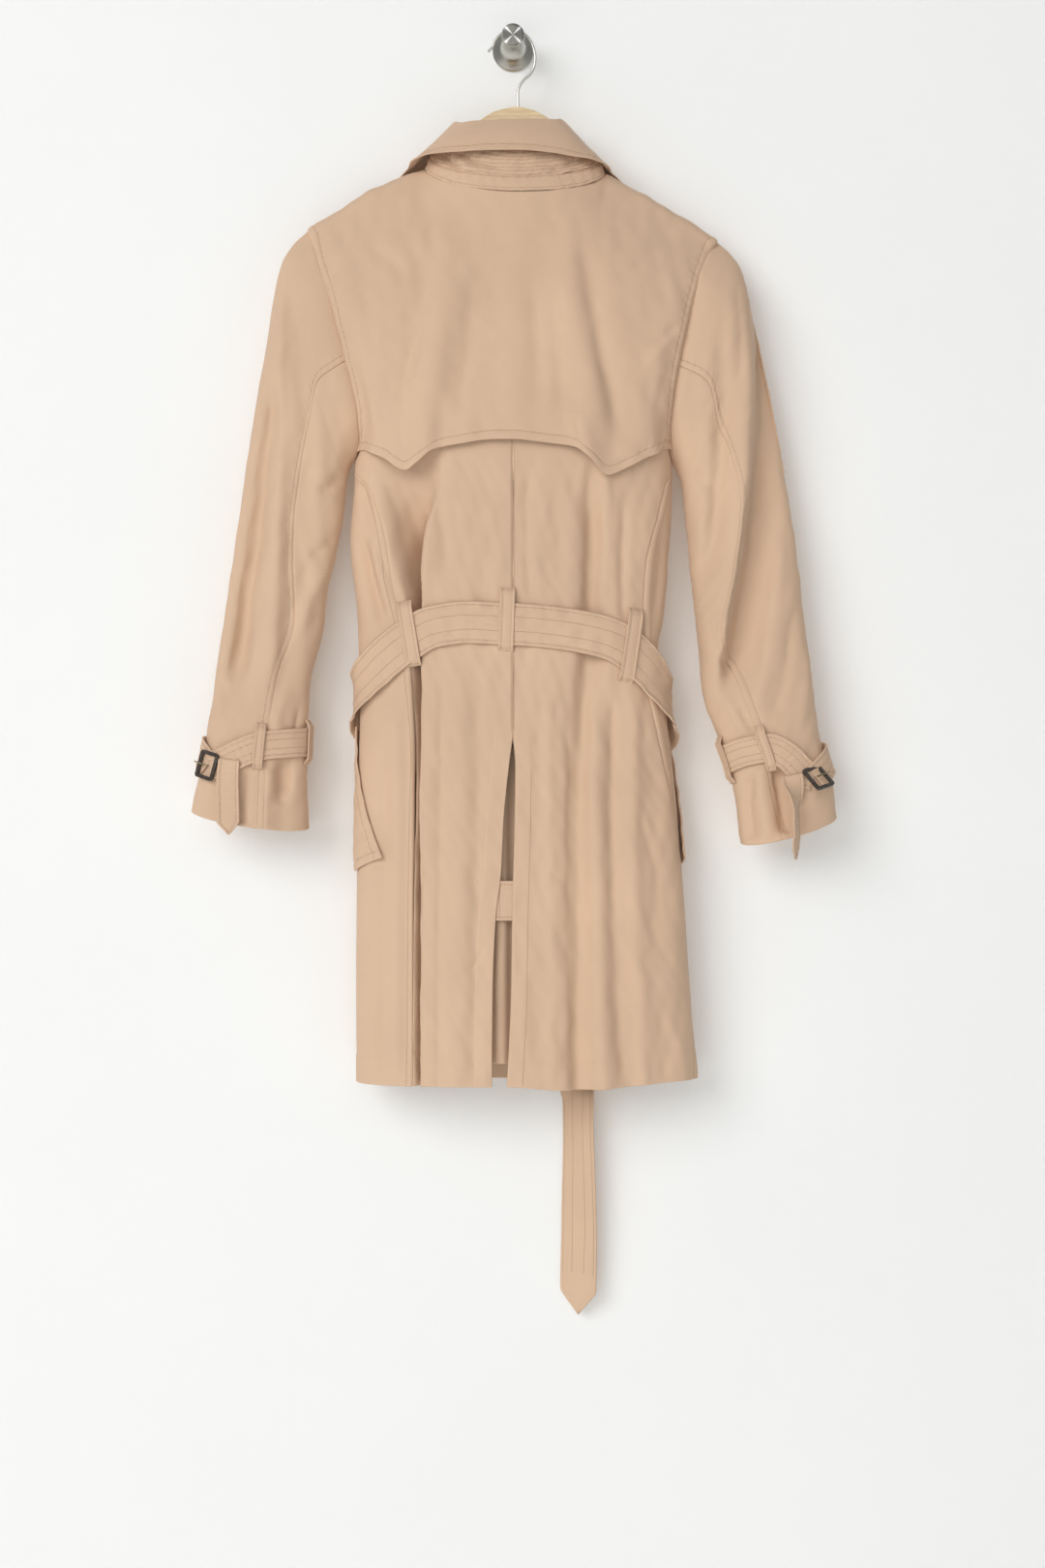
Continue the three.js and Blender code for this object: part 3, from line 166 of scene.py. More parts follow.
def unit(v: Array) -> Array:
    """Vectors scaled to a length of one."""
    return v / np.maximum(np.linalg.norm(v, axis=-1, keepdims=True), 1e-9)


def lengths(points: Array, axis: int = 0) -> Array:
    """Distances along lines of points that run down an axis, from zero at their first ones."""
    steps = np.cumsum(np.linalg.norm(np.diff(points, axis=axis), axis=-1), axis)
    return np.concatenate([np.zeros_like(steps.take([0], axis)), steps], axis)


def graded(width: float, step: float, fine: Sequence[float] = (0.5, 1.2, 2.2, 3.6, 5.6)) -> Array:
    """Places from 0 to 1 across a width, close together near both ends.

    Args:
        width: Rough real width.
        step: Distance between places away from the ends.
        fine: Distances of the first few from each end.

    Returns:
        The places.
    """
    room = fine[-1] + step * 0.8
    inner = np.linspace(room, width - room, max(2, round((width - 2 * room) / step) + 1))
    return np.concatenate([[0], fine, inner, width - np.array(fine[::-1]), [width]]) / width


# ---- the form of the coat ----

EDGES = {
    "left": np.array([
        (-193, -204, 39.6, 36.2), (-225, -195, 60, 25), (-268, -180, 74, 20), (-328, -164, 75, 20),
        (-384, -151, 68, 26), (-405, -149.5, 58.5, 35), (-418, -152.5, 51.5, 41), (UNDERARM, -157, 46, 46),
        (-460, -159, 45, 45), (-502, -162, 45, 45), (-585, -155, 45, 45), (-660, -153, 45, 45),
        (-805, -156, 45, 45), (-1060, -157, 45, 45),
    ]).T,
    "right": np.array([
        (-204, 203, 39.8, 36), (-224, 193, 56, 27), (-253, 182, 70, 21), (-317, 165, 75, 20),
        (-370, 156, 72, 24), (-400, 153.5, 61.5, 33), (-418, 155.5, 51.5, 41), (UNDERARM, 158, 46, 46),
        (-460, 159, 45, 45), (-504, 157, 45, 45), (-576, 150, 45, 45), (-615, 145, 45, 45),
        (-681, 154, 45, 45), (-805, 167, 45, 45), (-942, 176, 45, 45), (-1060, 186, 45, 45),
    ]).T,
}
MIDDLE = np.array([
    (-100, 70, 24), (-164, 76, 18), (-230, 88, 17), (-300, 97, 17), (-380, 98, 17), (-480, 94, 17),
    (-560, 88, 17), (-640, 84, 17), (-800, 92, 17), (-900, 96, 19), (-1060, 100, 24),
]).T
SHOULDER = {
    "left": np.array([(-87, -132), (-121, -145), (-166, -169), (-204, -193)], float).T,
    "right": np.array([(91, -137), (125, -156), (170, -182), (203, -204)], float).T,
}
SIDE_SEAM = {
    "left": np.array([
        (UNDERARM, -156), (-463, -139), (-501, -127), (-546, -120), (-569, -115), (-640, -101), (-740, -98),
        (-1060, -98),
    ]).T,
    "right": np.array([
        (UNDERARM, 157), (-475, 146), (-532, 132), (-575, 130), (-644, 133), (-701, 144), (-788, 161),
        (-894, 172), (-1060, 182),
    ]).T,
}
VENT_TOP = -700.0
VENT = np.array([
    (VENT_TOP, 0, 0), (-731, -4, 3), (-780, -9, 2.5), (-838, -12, 1), (-880, -17, 0), (-950, -20, -1),
    (-1060, -21, -6),
]).T


@dataclass(frozen=True)
class Fold:
    """A large fold that runs down the cloth.

    Attributes:
        half: Half width, or one for each point of its line.
        deep: Depth, or height where it is negative; one value or several.
        line: Its (x, z) points from its top down.
        fade: Distance over which it starts and ends.
        right: Its right side's width as a share of its left one's; one value or several.
        lean: Shift to the right for each millimetre of depth.
        power: 2 for a round hollow, more for steep sides and a flat floor.
    """

    half: float | Floats
    deep: float | Floats
    line: tuple[tuple[float, float], ...]
    fade: float = FOLD_FADE
    right: float | Floats = 1.0
    lean: float = 0.0
    power: float = 2.0

    def depth(self, x: Array, z: Array) -> Array:
        """How far it presses the cloth in at places in the view from the room."""
        xs, zs = zip(*self.line)
        read = lambda value: smooth(zs, value, z) if isinstance(value, tuple) else value
        off = (x - smooth(zs, xs, z)) / read(self.half)
        off = np.where(off > 0, off / read(self.right), off)
        opened = 1 if zs[-1] < HEM_Z else ease((z - zs[-1]) / self.fade)
        return read(self.deep) * ease((zs[0] - z) / self.fade) * opened * np.exp(-np.abs(off) ** self.power)


BACK_FOLDS = (
    Fold((28, 26, 18.5, 11.5, 8, 5.6, 4.4, 3.6), (9, 18, 40, 56, 56, 46, 36, 30),
         ((-104, -405), (-100, -455), (-96.5, -502), (-94.5, -547), (-93.6, -570), (-92.8, -640), (-92.6, -760),
          (-92.4, -1060)), fade=26, right=(1.0, 0.8, 0.4, 0.28, 0.28, 0.28, 0.28, 0.28), lean=0.42, power=3),
    Fold(9, 11, ((69, -440), (78, -510), (76, -590), (69, -690), (66, -800), (66, -1060)), right=1.7),
    Fold(11, 4, ((96, -640), (99, -800), (106, -930), (114, -1060))),
    Fold(17, -4, ((78, -660), (78, -860), (82, -1060))),
    Fold(17, -6, ((-45, -220), (-66, -300), (-92, -420))),
    Fold(17, -6, ((44, -220), (58, -310), (86, -430))),
)
SLEEVE_FOLDS = {
    "left": (
        Fold(8, 15, ((-234, -330), (-241, -396), (-255, -513), (-268, -600), (-278, -680)), right=1.5),
        Fold(13, -6, ((-231, -233), (-233, -549), (-238, -660)), right=0.5),
        Fold(15, 4, ((-206, -300), (-206, -420), (-210, -520), (-216, -600))),
        Fold(7, 7, ((-226, -712), (-226, -765)), 14),
    ),
    "right": (
        Fold(18, -8, ((234, -225), (236, -358), (230, -455), (221, -523), (211, -582), (195, -673)), right=0.4),
        Fold(8, 23, ((248, -236), (250, -358), (244, -455), (235, -523), (225, -582), (211, -673)), right=4.0),
        Fold(12, 5, ((210, -300), (208, -400), (202, -500), (194, -560))),
        Fold(8, 8, ((262, -728), (270, -800)), 14),
    ),
}


@dataclass(frozen=True)
class Crease:
    """A crease along any line over the cloth, in the view from the room.

    Attributes:
        rise: Height out of the cloth, or depth into it where it is negative.
        half: Half width.
        line: Its (x, z) points.
        profile: The look of its section.
        taper: Share of its length over which each end fades.
    """

    rise: float
    half: float
    line: tuple[tuple[float, float], ...]
    profile: Profile = Profile.SOFT
    taper: float = 0.3

    def height(self, x: Array, z: Array) -> Array:
        """How far it lifts the cloth at places in the view from the room."""
        points = np.array(self.line, float)
        lengths = np.linalg.norm(np.diff(points, axis=0), axis=1)
        total, done = lengths.sum(), 0.0
        best = np.full(np.shape(x), np.inf)
        where = np.zeros_like(best)
        for a, b, length in zip(points[:-1], points[1:], lengths):
            way = (b - a) / length
            t = np.clip((x - a[0]) * way[0] + (z - a[1]) * way[1], 0, length)
            far = np.hypot(x - a[0] - t * way[0], z - a[1] - t * way[1])
            where = np.where(far < best, (done + t) / total, where)
            best = np.minimum(far, best)
            done += length
        ends = ease(where / self.taper) * ease((1 - where) / self.taper) if self.taper else 1
        off = best / self.half
        return self.rise * ends * np.exp(-1.6 * off if self.profile is Profile.SHARP else -off * off)


def creased(creases: Sequence[Crease], x: Array, z: Array) -> Array:
    """The sum of several creases at places in the view from the room."""
    return sum((crease.height(x, z) for crease in creases), np.zeros(np.shape(x)))


def undulation(x: Array, z: Array, size: float, seed: int, upright: float = 2.5) -> Array:
    """Soft unevenness of hanging cloth, from about -1 to 1.

    Args:
        x: Places across.
        z: Places up.
        size: Typical distance from one swelling to the next.
        seed: Picks the pattern.
        upright: How much longer the swellings are than wide.

    Returns:
        Its height at each place.
    """
    rng = np.random.default_rng(seed)
    total = np.zeros(np.shape(x))
    waves = 7
    for _ in range(waves):
        angle, phase, bend = rng.uniform(-0.9, 0.9), rng.uniform(0, 6.3), rng.uniform(0, 6.3)
        length = size * rng.uniform(0.6, 1.7)
        warped = x + size * 0.3 * np.sin(z / (size * 1.7) + bend)
        total += np.sin(2 * math.pi * (warped * math.cos(angle) + z * math.sin(angle) / upright) / length + phase)
    return total / math.sqrt(waves)


def fold_depth(folds: Sequence[Fold], x: Array, z: Array) -> Array:
    """How far folds press the cloth in at places in the view from the room."""
    return sum((fold.depth(x, z) for fold in folds), np.zeros(np.shape(x)))


def fold_shift(folds: Sequence[Fold], x: Array, z: Array) -> Array:
    """How far all of the folds carry the cloth to the right."""
    return sum(fold.lean * fold.depth(x, z) for fold in folds)


def wrap(way: Array) -> Array:
    """Ways round the coat brought between -2 and 2."""
    return (np.asarray(way, float) + 2) % 4 - 2


def edge_at(z: Array, right: Array, column: int) -> Array:
    """The outline of the sides: column 1 is x, 2 the back's depth and 3 the front's."""
    left = smooth(EDGES["left"][0], EDGES["left"][column], z)
    return np.where(right, smooth(EDGES["right"][0], EDGES["right"][column], z), left)


def shoulder_at(x: Array) -> Array:
    """Height of the shoulder seams."""
    return np.where(x < 0, smooth(*SHOULDER["left"], x), smooth(*SHOULDER["right"], x))


def neck_end(x: Array) -> Array:
    """The x at which the shoulder seam of that side starts."""
    return np.where(x < 0, SHOULDER["left"][0][0], SHOULDER["right"][0][0])


def neck_oval(x: Array) -> Array:
    """Half an oval over the neck's width."""
    return np.sqrt(np.clip(1 - (x / neck_end(x)) ** 2, 0, None))


def neck_base(x: Array) -> Array:
    """Height of a straight line between the inner ends of the shoulder seams."""
    (x0, z0), (x1, z1) = SHOULDER["left"][:, 0], SHOULDER["right"][:, 0]
    return mix(z0, z1, np.clip((x - x0) / (x1 - x0), 0, 1))


def top_line(x: Array, back: bool = True) -> Array:
    """Height of the coat's top edge: the shoulder seams and, between them, the neckline."""
    neck = neck_base(x) - neck_oval(x) * (NECK_RISE if back else FRONT_NECK_DROP)
    return np.where(np.abs(x) >= np.abs(neck_end(x)), shoulder_at(x), neck)


def hem_line(x: Array) -> Array:
    """Height of the hem."""
    return HEM_Z - 3.5 * np.sin(x / 38) * ease((x + 20) / 60)


def body_point(way: Array, z: Array, folds: Sequence[Fold] = BACK_FOLDS) -> Array:
    """Points of the coat's surface.

    Args:
        way: Ways round.
        z: Heights.
        folds: The large folds that press it in.

    Returns:
        The points, with one more axis for x, y and z.
    """
    way, z = np.broadcast_arrays(wrap(way), np.asarray(z, float))
    right, turn = way >= 0, np.abs(way)
    back = turn <= 1
    angle = np.minimum(turn, 2 - turn) * math.pi / 2
    power = np.where(back, 2 / SQUARE_BACK, 2 / SQUARE_FRONT)
    out = np.sin(angle) ** power
    middle = np.clip(np.cos(angle), 0, None) ** power
    x = edge_at(z, right, 1) * out
    edge = np.where(back, edge_at(z, right, 2), edge_at(z, right, 3))
    centre = np.where(back, smooth(MIDDLE[0], MIDDLE[1], z), smooth(MIDDLE[0], MIDDLE[2], z))
    opened = mix(edge, centre, middle)
    oval = neck_oval(x)
    ridge = RIDGE_DEPTH + oval * np.where(back, 37, -21)
    radius = mix(RIDGE_ROUND, NECK_ROUND, np.sqrt(oval))
    in_neck = np.abs(x) < np.abs(neck_end(x))
    above = np.where(back, top_line(x), np.where(in_neck, neck_base(x), shoulder_at(x)))
    drop = np.clip(above - z, 0, None)
    bend = np.sqrt(1 - (1 - np.minimum(1, drop / radius)) ** 2) * np.minimum(radius, np.abs(opened - ridge))
    first = ridge + np.sign(opened - ridge) * bend
    fall = 1 - (1 - np.minimum(1, drop / SHOULDER_FALL)) ** 2.2
    room = np.where(back, np.sqrt(middle), 0)
    pressed, shift = fold_depth(folds, x, z) * room, fold_shift(folds, x, z) * room
    return np.stack([x + shift, pressed - mix(first, opened, fall), z], -1)


def way_at(x: Array, z: Array) -> Array:
    """The signed way round to a place x on the back."""
    right = np.asarray(x) >= 0
    share = np.clip(x / edge_at(z, right, 1), 0, 1)
    return np.where(right, 1, -1) * np.arcsin(share ** (SQUARE_BACK / 2)) / (math.pi / 2)


def front_way_at(side: Side, x: Array, z: Array) -> Array:
    """The signed way round to a place x on the front, past the centre front where x is on the other side."""
    right = np.asarray(x) >= 0
    share = np.clip(np.abs(x / edge_at(z, right, 1)), 0, 1)
    angle = np.arcsin(share ** (SQUARE_FRONT / 2)) / (math.pi / 2)
    same = right == (side is Side.RIGHT)
    return side.sign * np.where(same, 2 - angle, 2 + angle)


def seam_way(side: Side, z: Array, front: bool = False) -> Array:
    """The signed way round to a panel's outer edge: its armhole and, below it, the side seam."""
    below = way_at(smooth(*SIDE_SEAM[side.value], z), z)
    return mix(side.sign * (1.0001 if front else 1.0), below, ease((UNDERARM - z) / UNDERARM_FADE))


def from_body(points: Array) -> Array:
    """Rough directions out of the coat."""
    return np.stack([points[..., 0] * 0.4, points[..., 1] + BODY_MIDDLE, 0 * points[..., 0]], -1)


def panel(first: Callable, second: Callable, cs: Array, vs: Array, top: Callable, bottom: Callable,
          folds: Sequence[Fold] = BACK_FOLDS) -> Array:
    """A panel of the body between two ways round and two heights.

    Args:
        first: The way round to its first edge at a height.
        second: The way round to its second edge.
        cs: Places across, from 0 to 1.
        vs: Places down, from 0 to 1.
        top: Its top edge's height at an x.
        bottom: Its bottom edge's height at an x.
        folds: The large folds of its cloth.

    Returns:
        The grid of points, in rows from the top.
    """

    def meet(line: Callable, z: float) -> Array:
        """Heights at which the panel's columns meet a line."""
        heights = np.full(len(cs), z)
        for _ in range(12):
            x = body_point(mix(first(heights), second(heights), cs), heights, ())[..., 0]
            heights = mix(heights, line(x), 0.7)
        return heights

    z = mix(meet(top, -250.0), meet(bottom, -1040.0), vs[:, None])
    return body_point(mix(first(z), second(z), cs), z, folds)


def on_body(way: Array, z: Array, lift: Array | float) -> Line:
    """Points moved out from the coat's surface, which bands bridge the folds of.

    Args:
        way: Signed ways round.
        z: Heights.
        lift: Distance out.

    Returns:
        The points and the normals there.
    """
    point = body_point(way, z, ())
    across = body_point(np.asarray(way) + 0.01, z, ()) - body_point(np.asarray(way) - 0.01, z, ())
    down = body_point(way, np.asarray(z) - 2, ()) - body_point(way, np.asarray(z) + 2, ())
    normal = unit(np.cross(across, down))
    wrong = np.sum(normal * from_body(point), -1, keepdims=True) < 0
    normal = np.where(wrong, -normal, normal)
    return point + normal * np.asarray(lift)[..., None], normal


# ---- finishes ----


class Nodes:
    """Short calls for building one material's node tree."""

    def __init__(self, name: str) -> None:
        """Starts a material with its shader and output."""
        self.material = bpy.data.materials.new(name)
        self.material.use_nodes = True
        self.tree = self.material.node_tree
        self.shader = self.tree.nodes["Principled BSDF"]

    def add(self, kind: str, inputs: dict | None = None, **settings: object) -> bpy.types.Node:
        """Adds a node.

        Args:
            kind: Its type, without the leading ShaderNode.
            inputs: Values, or sockets to link, by input name or number.
            settings: Its own properties.

        Returns:
            The node.
        """
        node = self.tree.nodes.new("ShaderNode" + kind)
        for key, value in settings.items():
            setattr(node, key, value)
        self.feed(node, inputs or {})
        return node

    def feed(self, node: bpy.types.Node, inputs: dict) -> None:
        """Sets or links a node's inputs."""
        for key, value in inputs.items():
            if isinstance(value, Socket):
                self.tree.links.new(value, node.inputs[key])
            else:
                node.inputs[key].default_value = value

    def place(self) -> Socket:
        """The piece's own coordinates."""
        return self.add("TexCoord").outputs["Object"]

    def ramp(self, factor: Socket, stops: Sequence[tuple[float, tuple]]) -> Socket:
        """Colours along a factor, from (position, colour) stops."""
        node = self.add("ValToRGB", {"Fac": factor})
        while len(node.color_ramp.elements) < len(stops):
            node.color_ramp.elements.new(0.5)
        for element, (position, colour) in zip(node.color_ramp.elements, stops):
            element.position, element.color = position, (*colour, 1)
        return node.outputs["Color"]


    def noise(self, place: Socket, scale: float, detail: float, **more: float) -> Socket:
        """The strength of a noise at a place."""
        return self.add("TexNoise", {"Vector": place, "Scale": scale, "Detail": detail, **more}).outputs["Fac"]

    def calc(self, operation: str, *values: Socket | float) -> Socket:
        """The result of an operation on values."""
        return self.add("Math", dict(enumerate(values)), operation=operation).outputs[0]

    def bump(self, height: Socket, strength: float, distance: float) -> Socket:
        """The normals that a height gives."""
        return self.add("Bump", {"Height": height, "Strength": strength, "Distance": distance}).outputs["Normal"]

    def blend(self, share: Socket | float, first: Socket, second: Socket, way: str = "MIX") -> Socket:
        """Two colours blended."""
        return self.add("MixRGB", {"Fac": share, "Color1": first, "Color2": second}, blend_type=way).outputs["Color"]


def shade(colour: Sequence[float], factor: float) -> Floats:
    """A colour made lighter or darker."""
    return tuple(min(1.0, value * factor) for value in colour)


@dataclass(frozen=True)
class ClothFinish:
    """Fine cotton gabardine: steep twill ribs, a dry sheen and slightly uneven dye."""

    name: str = "gabardine"
    colour: Floats = (0.69, 0.482, 0.332)
    rib: float = 0.9
    unevenness: float = 0.045

    def material(self) -> Material:
        """Builds the material."""
        n = Nodes(self.name)
        cut = n.add("UVMap", uv_map="Cut").outputs["UV"]
        turned = n.add("Mapping", {"Vector": cut, "Rotation": (0, 0, math.radians(18))}).outputs["Vector"]
        scale = 2 * math.pi / (10 * self.rib * MM)
        twill = n.add("TexWave", {"Vector": turned, "Scale": scale, "Distortion": 0.6, "Detail": 1.0,
                                  "Detail Scale": 0.4}, bands_direction="DIAGONAL").outputs["Fac"]
        slub = n.noise(cut, 1400.0, 2.0)
        dye = n.noise(n.place(), 7.0, 4.0, Roughness=0.6)
        light, dark = shade(self.colour, 1 + self.unevenness), shade(self.colour, 1 - self.unevenness)
        base = n.ramp(dye, [(0.3, dark), (0.7, light)])
        ribs = n.blend(0.1, base, n.ramp(twill, [(0, (0.5,) * 3), (1, (1,) * 3)]), "MULTIPLY")
        bump = n.bump(n.calc("ADD", twill, slub), 0.35, 0.00016)
        n.feed(n.shader, {"Base Color": ribs, "Roughness": 0.88, "Normal": bump, "Sheen Weight": 0.12,
                          "Sheen Roughness": 0.45, "Specular IOR Level": 0.25})
        return n.material


@dataclass(frozen=True)
class ThreadFinish:
    """Matching sewing thread with a slight twist."""

    name: str = "thread"
    colour: Floats = (0.47, 0.315, 0.2)

    def material(self) -> Material:
        """Builds the material."""
        n = Nodes(self.name)
        dark, light = shade(self.colour, 0.88), shade(self.colour, 1.1)
        base = n.ramp(n.noise(n.place(), 2500.0, 1.0), [(0.35, dark), (0.65, light)])
        n.feed(n.shader, {"Base Color": base, "Roughness": 0.6, "Sheen Weight": 0.2})
        return n.material


@dataclass(frozen=True)
class WoodFinish:
    """Pale varnished beech with its grain along the hanger."""

    name: str = "varnished_wood"
    light: Floats = (0.84, 0.66, 0.40)
    dark: Floats = (0.66, 0.45, 0.24)

    def material(self) -> Material:
        """Builds the material."""
        n = Nodes(self.name)
        along = n.add("Mapping", {"Vector": n.place(), "Scale": (5.0, 60.0, 95.0)}).outputs["Vector"]
        grain, fleck = n.noise(along, 3.0, 6.0, Distortion=0.8), n.noise(along, 14.0, 2.0)
        base = n.ramp(grain, [(0.3, self.dark), (0.55, self.light), (0.8, shade(self.light, 1.06))])
        flecked = n.blend(0.25, base, n.ramp(fleck, [(0.4, shade(self.dark, 0.8)), (0.6, (1, 1, 1))]), "MULTIPLY")
        n.feed(n.shader, {"Base Color": flecked, "Roughness": 0.42, "Normal": n.bump(fleck, 0.15, 0.0002),
                          "Coat Weight": 0.35, "Coat Roughness": 0.25})
        return n.material


class Lay(Enum):
    """The way round a brushed finish runs: about an axis or along one."""

    ROUND = "round"
    ALONG = "along"


@dataclass(frozen=True)
class SteelFinish:
    """Turned and brushed steel, whose fine lines stretch the highlights; on a round lay its turned end face also
    gets painted highlight rays in its colour.
    """

    name: str
    roughness: float = 0.32
    stretch: float = 0.75
    lay: Lay = Lay.ROUND
    turned_end: float = 0.0524

    def material(self) -> Material:
        """Builds the material."""
        n = Nodes(self.name)
        place = n.place()
        if self.lay is Lay.ROUND:
            split = n.add("SeparateXYZ", {"Vector": place}).outputs
            squares = [n.calc("MULTIPLY", split[axis], split[axis]) for axis in ("X", "Z")]
            radius = n.calc("POWER", n.calc("ADD", *squares), 0.5)
            rings = n.add("CombineXYZ", {"X": radius, "Y": split["Y"]}).outputs["Vector"]
        else:
            rings = n.add("Mapping", {"Vector": place, "Scale": (1.0, 1.0, 0.05)}).outputs["Vector"]
        lines = n.noise(rings, 2600.0, 3.0)
        base = n.ramp(lines, [(0.3, (0.5, 0.49, 0.45)), (0.7, (0.68, 0.67, 0.62))])
        if self.lay is Lay.ROUND:
            base = self.painted_highlight_rays(n, split, base)
        bump = n.bump(lines, 0.12, 0.0001)
        tangent = n.add("Tangent", direction_type="RADIAL", axis="Y").outputs["Tangent"]
        n.feed(n.shader, {"Base Color": base, "Metallic": 1.0, "Roughness": self.roughness,
                          "Anisotropic": self.stretch, "Normal": bump, "Tangent": tangent})
        return n.material

    def painted_highlight_rays(self, n: Nodes, split: object, base: Socket) -> Socket:
        """Paints crossed rays into the turned end face's colour: painted highlights with painted dark reflections
        between them, which stand in for the glints that its fine rings throw.

        Args:
            n: The material's nodes.
            split: Outputs X, Y and Z of the place.
            base: Colour away from the end face.

        Returns:
            The colour with the painted highlight rays and painted dark reflections.
        """
        # Painted light: bright rays and dark gaps, set by the angle round the axis, are painted into the end face's
        # base colour.
        turn = n.calc("ARCTAN2", split["Z"], split["X"])
        wave = n.calc("COSINE", n.calc("MULTIPLY_ADD", turn, 4.0, math.pi))
        painted_rays = n.ramp(wave, [(0.1, (0.16, 0.155, 0.14)), (0.86, (0.3, 0.29, 0.27)), (1.0, (0.92, 0.91, 0.89))])
        end = n.calc("GREATER_THAN", n.calc("MULTIPLY", split["Y"], -1.0), self.turned_end)
        return n.blend(end, base, painted_rays)


@dataclass(frozen=True)
class HornFinish:
    """Dark brown moulded horn look with cloudy streaks."""

    name: str = "dark_horn"

    def material(self) -> Material:
        """Builds the material."""
        n = Nodes(self.name)
        cloud = n.noise(n.place(), 160.0, 4.0, Distortion=1.5)
        base = n.ramp(cloud, [(0.35, (0.02, 0.016, 0.014)), (0.7, (0.075, 0.055, 0.042))])
        rough = n.ramp(cloud, [(0.3, (0.3,) * 3), (0.8, (0.5,) * 3)])
        n.feed(n.shader, {"Base Color": base, "Roughness": rough, "Coat Weight": 0.2, "Coat Roughness": 0.3})
        return n.material


@dataclass(frozen=True)
class BrassFinish:
    """Dull brass with darker patches."""

    name: str = "aged_brass"

    def material(self) -> Material:
        """Builds the material."""
        n = Nodes(self.name)
        base = n.ramp(n.noise(n.place(), 500.0, 3.0), [(0.35, (0.2, 0.16, 0.1)), (0.65, (0.5, 0.41, 0.25))])
        n.feed(n.shader, {"Base Color": base, "Metallic": 1.0, "Roughness": 0.38})
        return n.material


@cache
def material_of(finish: object) -> Material:
    """The material of a finish, made once."""
    return finish.material()


GABARDINE = ClothFinish()
THREAD = ThreadFinish()


# ---- meshes ----


def mesh_object(name: str, points: Array, faces: Array, uv: Array | None = None) -> Object:
    """A smooth-shaded object from points in millimetres.

    Args:
        name: Its name.
        points: Its points.
        faces: Their numbers for each face, all faces with the same count.
        uv: Places on the cut cloth for each point, in metres.

    Returns:
        The object.
    """
    mesh = bpy.data.meshes.new(name)
    mesh.vertices.add(len(points))
    mesh.vertices.foreach_set("co", (points * MM).astype(np.float32).ravel())
    mesh.loops.add(faces.size)
    mesh.loops.foreach_set("vertex_index", faces.astype(np.int32).ravel())
    mesh.polygons.add(len(faces))
    mesh.polygons.foreach_set("loop_start", np.arange(0, faces.size, faces.shape[1], dtype=np.int32))
    mesh.polygons.foreach_set("use_smooth", np.ones(len(faces), bool))
    mesh.update(calc_edges=True)
    if uv is not None:
        layer = mesh.uv_layers.new(name="Cut")
        layer.data.foreach_set("uv", uv[faces.ravel()].astype(np.float32).ravel())
    mesh.validate()
    made = bpy.data.objects.new(name, mesh)
    bpy.context.scene.collection.objects.link(made)
    return made


def grid_normals(grid: Array) -> Array:
    """Normals of a grid of points, from the differences across its rows and columns."""
    return unit(np.cross(np.gradient(grid, axis=1), np.gradient(grid, axis=0)))


@dataclass(frozen=True)
class Stitch:
    """The size of one stitch and the distance from each to the next."""

    length: float = 2.3
    pitch: float = 3.1
    width: float = 0.75
    height: float = 0.3
    lift: float = 0.06

    def sew(self, name: str, lines: Sequence[Line]) -> Object:
        """One mesh of all the stitches along lines.

        Args:
            name: The mesh's name.
            lines: Points and normals of each line.

        Returns:
            The object.
        """
        rings = []
        for points, normals in lines:
            arc = lengths(points)
            starts = np.arange(self.pitch / 3, arc[-1] - self.length, self.pitch)
            if not len(starts):
                continue
            read = lambda at, values: np.stack([np.interp(at, arc, values[:, k]) for k in range(3)], -1)
            a, b = read(starts, points), read(starts + self.length, points)
            up = unit(read(starts + self.length / 2, normals))
            ahead = unit(b - a)
            side = unit(np.cross(up, ahead))
            up = np.cross(ahead, side)
            a, b = a + up * self.lift, b + up * self.lift
            ring = [side * self.width / 2, up * self.height, -side * self.width / 2, -up * self.height]
            low, high = mix(a, b, 0.2), mix(a, b, 0.8)
            rings.append(np.stack([a, *(low + r for r in ring), *(high + r for r in ring), b], 1))
        points = np.concatenate(rings)
        faces = []
        for i in range(4):
            j = (i + 1) % 4
            faces += [(0, 1 + j, 1 + i), (1 + i, 1 + j, 5 + j), (1 + i, 5 + j, 5 + i), (9, 5 + i, 5 + j)]
        numbers = np.array(faces)[None] + 10 * np.arange(len(points))[:, None, None]
        made = mesh_object(name, points.reshape(-1, 3), numbers.reshape(-1, 3))
        made.data.materials.append(material_of(THREAD))
        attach(made, BODY)
        return made


STITCH = Stitch()


